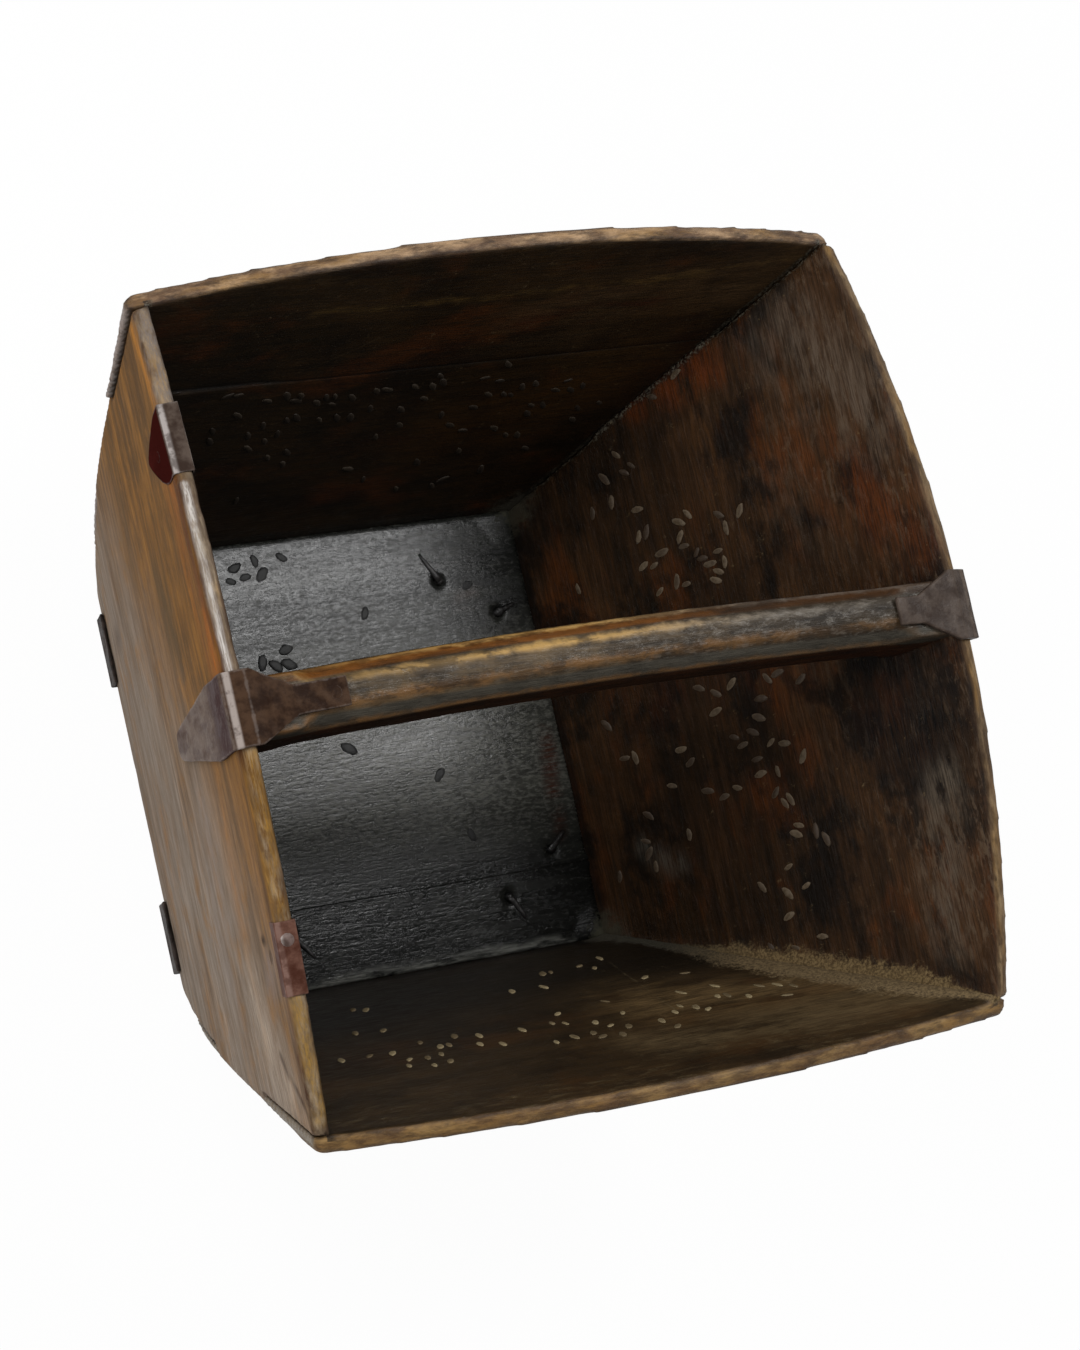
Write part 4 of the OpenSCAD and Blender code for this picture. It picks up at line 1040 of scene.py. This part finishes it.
def makeHuskSkin(name):
    look = huskLook[name]
    mat, tree, shader, place = newMaterial("grainHusk_" + name)
    ring, tone = storedParts(tree, "huskPlace")[:2]
    spots = span(tree, speckle(tree, place, 500.0, 3.0), 0.4, 0.65)
    core = blendColor(tree, spots, look["core"], look["ring"])
    core = blendColor(tree, span(tree, tone, 0.2, 0.9, 0.75, 0.1), core, look["under"])
    edge = times(tree, span(tree, ring, 0.5, 0.85), tone)
    color = blendColor(tree, edge, core, look["ring"])
    finishSkin(tree, shader, color, blendValue(tree, edge, 0.6, 0.8), speckle(tree, place, 900.0, 2.0), 0.4, 0.0004)
    return mat


def makeHusks(name, places, axesAt, sizes, rise):
    dice = random.Random(17)
    bm = bmesh.new()
    ringLayer = bm.verts.layers.float_vector.new("huskPlace")
    for first, second, turn in places:
        a, u, out, spot = axesAt(first, second)
        size, tone, t = dice.uniform(0.72, 1.12), dice.uniform(0.0, 1.0), math.radians(turn)
        made = bmesh.ops.create_uvsphere(bm, u_segments=10, v_segments=6, radius=1.0)["verts"]
        bend = dice.uniform(-0.25, 0.25)
        for v in made:
            v[ringLayer] = (math.hypot(v.co.x, v.co.y), tone, 0)
            v.co.x *= dice.uniform(0.9, 1.1)
            v.co.y = v.co.y * dice.uniform(0.8, 1.1) + bend * v.co.x * v.co.x
            v.co.y *= 0.88 + 0.12 * math.sqrt(max(0.0, 1 - v.co.x * v.co.x))
        lengthwise = Vector(a * math.cos(t) + u * math.sin(t)) * sizes[0] / 2000 * size
        across = Vector(u * math.cos(t) - a * math.sin(t)) * sizes[1] / 2000 * size
        lift = Vector(out) * rise * dice.uniform(0.7, 1.2) / 1000
        turned = Matrix((lengthwise, across, lift)).transposed().to_4x4()
        bmesh.ops.transform(bm, matrix=Matrix.Translation(Vector(mm(spot))) @ turned, verts=made)
    bmesh.ops.recalc_face_normals(bm, faces=bm.faces)
    piece = newPiece("grainHusks_" + name, bm)
    piece.data.shade_smooth()
    piece.data.materials.append(makeHuskSkin(name))
    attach(piece, "root")
    print("husks", name, len(places))


for side, places in huskPlaces.items():
    a, u, o, corner = wallAxes(side)
    sizes = (huskLook["length"], huskLook["width"])
    makeHusks(side, places, lambda along, up: (a, u, -o, onWall(side, along, up)), sizes, huskLook["rise"])


def onBase(x, y):
    return (*np.eye(3), (x, y, boxShape["baseTop"] - crownDrop(y)))


dentSizes = (huskLook["dentLength"], huskLook["dentWidth"])
makeHusks("base", dentPlaces, onBase, dentSizes, huskLook["dentRise"])

# hidden pins
pinLook = {"dark": "8a6a42", "pale": "c4a06a"}
pinMat, tree, shader, place = newMaterial("pinWood")
streak, fibre, height = useGroup(tree, grainFigure, Vector=stretched(tree, place, (200.0, 40.0, 200.0)))
color = blendColor(tree, streak, pinLook["dark"], pinLook["pale"])
finishSkin(tree, shader, color, blendValue(tree, fibre, 0.6, 0.8), height, 0.3, 0.0005)
for node in ("back_wall_dowels", "base_board_dowels"):
    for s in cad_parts[node].material_slots:
        s.material = pinMat

# studio: pale floor, soft lamps
studio = {
    "floorHalf": 20.0, "floorDrop": 0.0004, "floorTone": 1.0, "floorRough": 0.9, "whiten": 0.97,
    "world": 0.2, "aim": 0.1,
    "lamps": {  # direction from the object, distance, size, power
        "keyLamp": ((-0.62, 0.35, 0.70), 2.2, 1.2, 22.0),
        "topLamp": ((0.50, 0.23, 0.835), 2.2, 0.62, 19.0),
        "sideLamp": ((-0.92, -0.25, 0.28), 2.4, 1.4, 16.0),
    },
}
bm = bmesh.new()
bmesh.ops.create_grid(bm, x_segments=2, y_segments=2, size=studio["floorHalf"],
                      matrix=Matrix.Translation((0, 0, -studio["floorDrop"])))
floor = newPiece("studioFloor", bm)
floorMat = bpy.data.materials.new("studioFloor")
floorMat.use_nodes = True
tree = floorMat.node_tree
shader = tree.nodes["Principled BSDF"]
shader.inputs["Base Color"].default_value = (studio["floorTone"],) * 3 + (1.0,)
shader.inputs["Roughness"].default_value = studio["floorRough"]
rays = put(tree, "ShaderNodeLightPath").outputs
mirrored = calc(tree, "MAXIMUM", rays["Is Glossy Ray"], rays["Is Transmission Ray"])
seen = calc(tree, "MAXIMUM", rays["Is Camera Ray"], mirrored)
white = put(tree, "ShaderNodeEmission", {"Color": (1, 1, 1, 1), "Strength": 1.0})
both = put(tree, "ShaderNodeMixShader",
           {0: times(tree, seen, studio["whiten"]), 1: shader.outputs[0], 2: white.outputs[0]})
tree.links.new(both.outputs[0], tree.nodes["Material Output"].inputs["Surface"])
floor.data.materials.append(floorMat)

world = bpy.data.worlds.new("studioAir")
scene.world = world
world.use_nodes = True
air = world.node_tree.nodes["Background"]
air.inputs["Color"].default_value = (1, 1, 1, 1)
air.inputs["Strength"].default_value = studio["world"]

for name, (way, distance, size, power) in studio["lamps"].items():
    lamp = bpy.data.lights.new(name, "AREA")
    lamp.shape = "DISK"
    lamp.size = size
    lamp.energy = power
    holder = bpy.data.objects.new(name, lamp)
    holder.location = Vector(way).normalized() * distance + Vector((0, 0, studio["aim"]))
    holder.rotation_mode = "QUATERNION"
    holder.rotation_quaternion = Vector(way).to_track_quat("Z", "Y")
    scene.collection.objects.link(holder)

# camera at the photograph's angle: place, axes and focal length in pixels of the frame
cameraView = {
    "place": (-1.19270, -0.21458, 1.79732),
    "turn": ((0.80428, 0.11786, -0.58244), (-0.21920, 0.96986, -0.10644), (0.55234, 0.21329, 0.80587)),
    "focalPixels": 5385.64, "pixelsHigh": 1350, "sensor": 36.0, "clipEnd": 50,
}
lens = bpy.data.cameras.new("photoView")
lens.sensor_width = cameraView["sensor"]
lens.lens = cameraView["focalPixels"] * cameraView["sensor"] / cameraView["pixelsHigh"]
lens.clip_end = cameraView["clipEnd"]
camera = bpy.data.objects.new("photoView", lens)
camera.matrix_world = Matrix.Translation(cameraView["place"]) @ Matrix(cameraView["turn"]).to_4x4()
scene.collection.objects.link(camera)
scene.camera = camera
scene.view_settings.view_transform = "Standard"

print("scene ready")
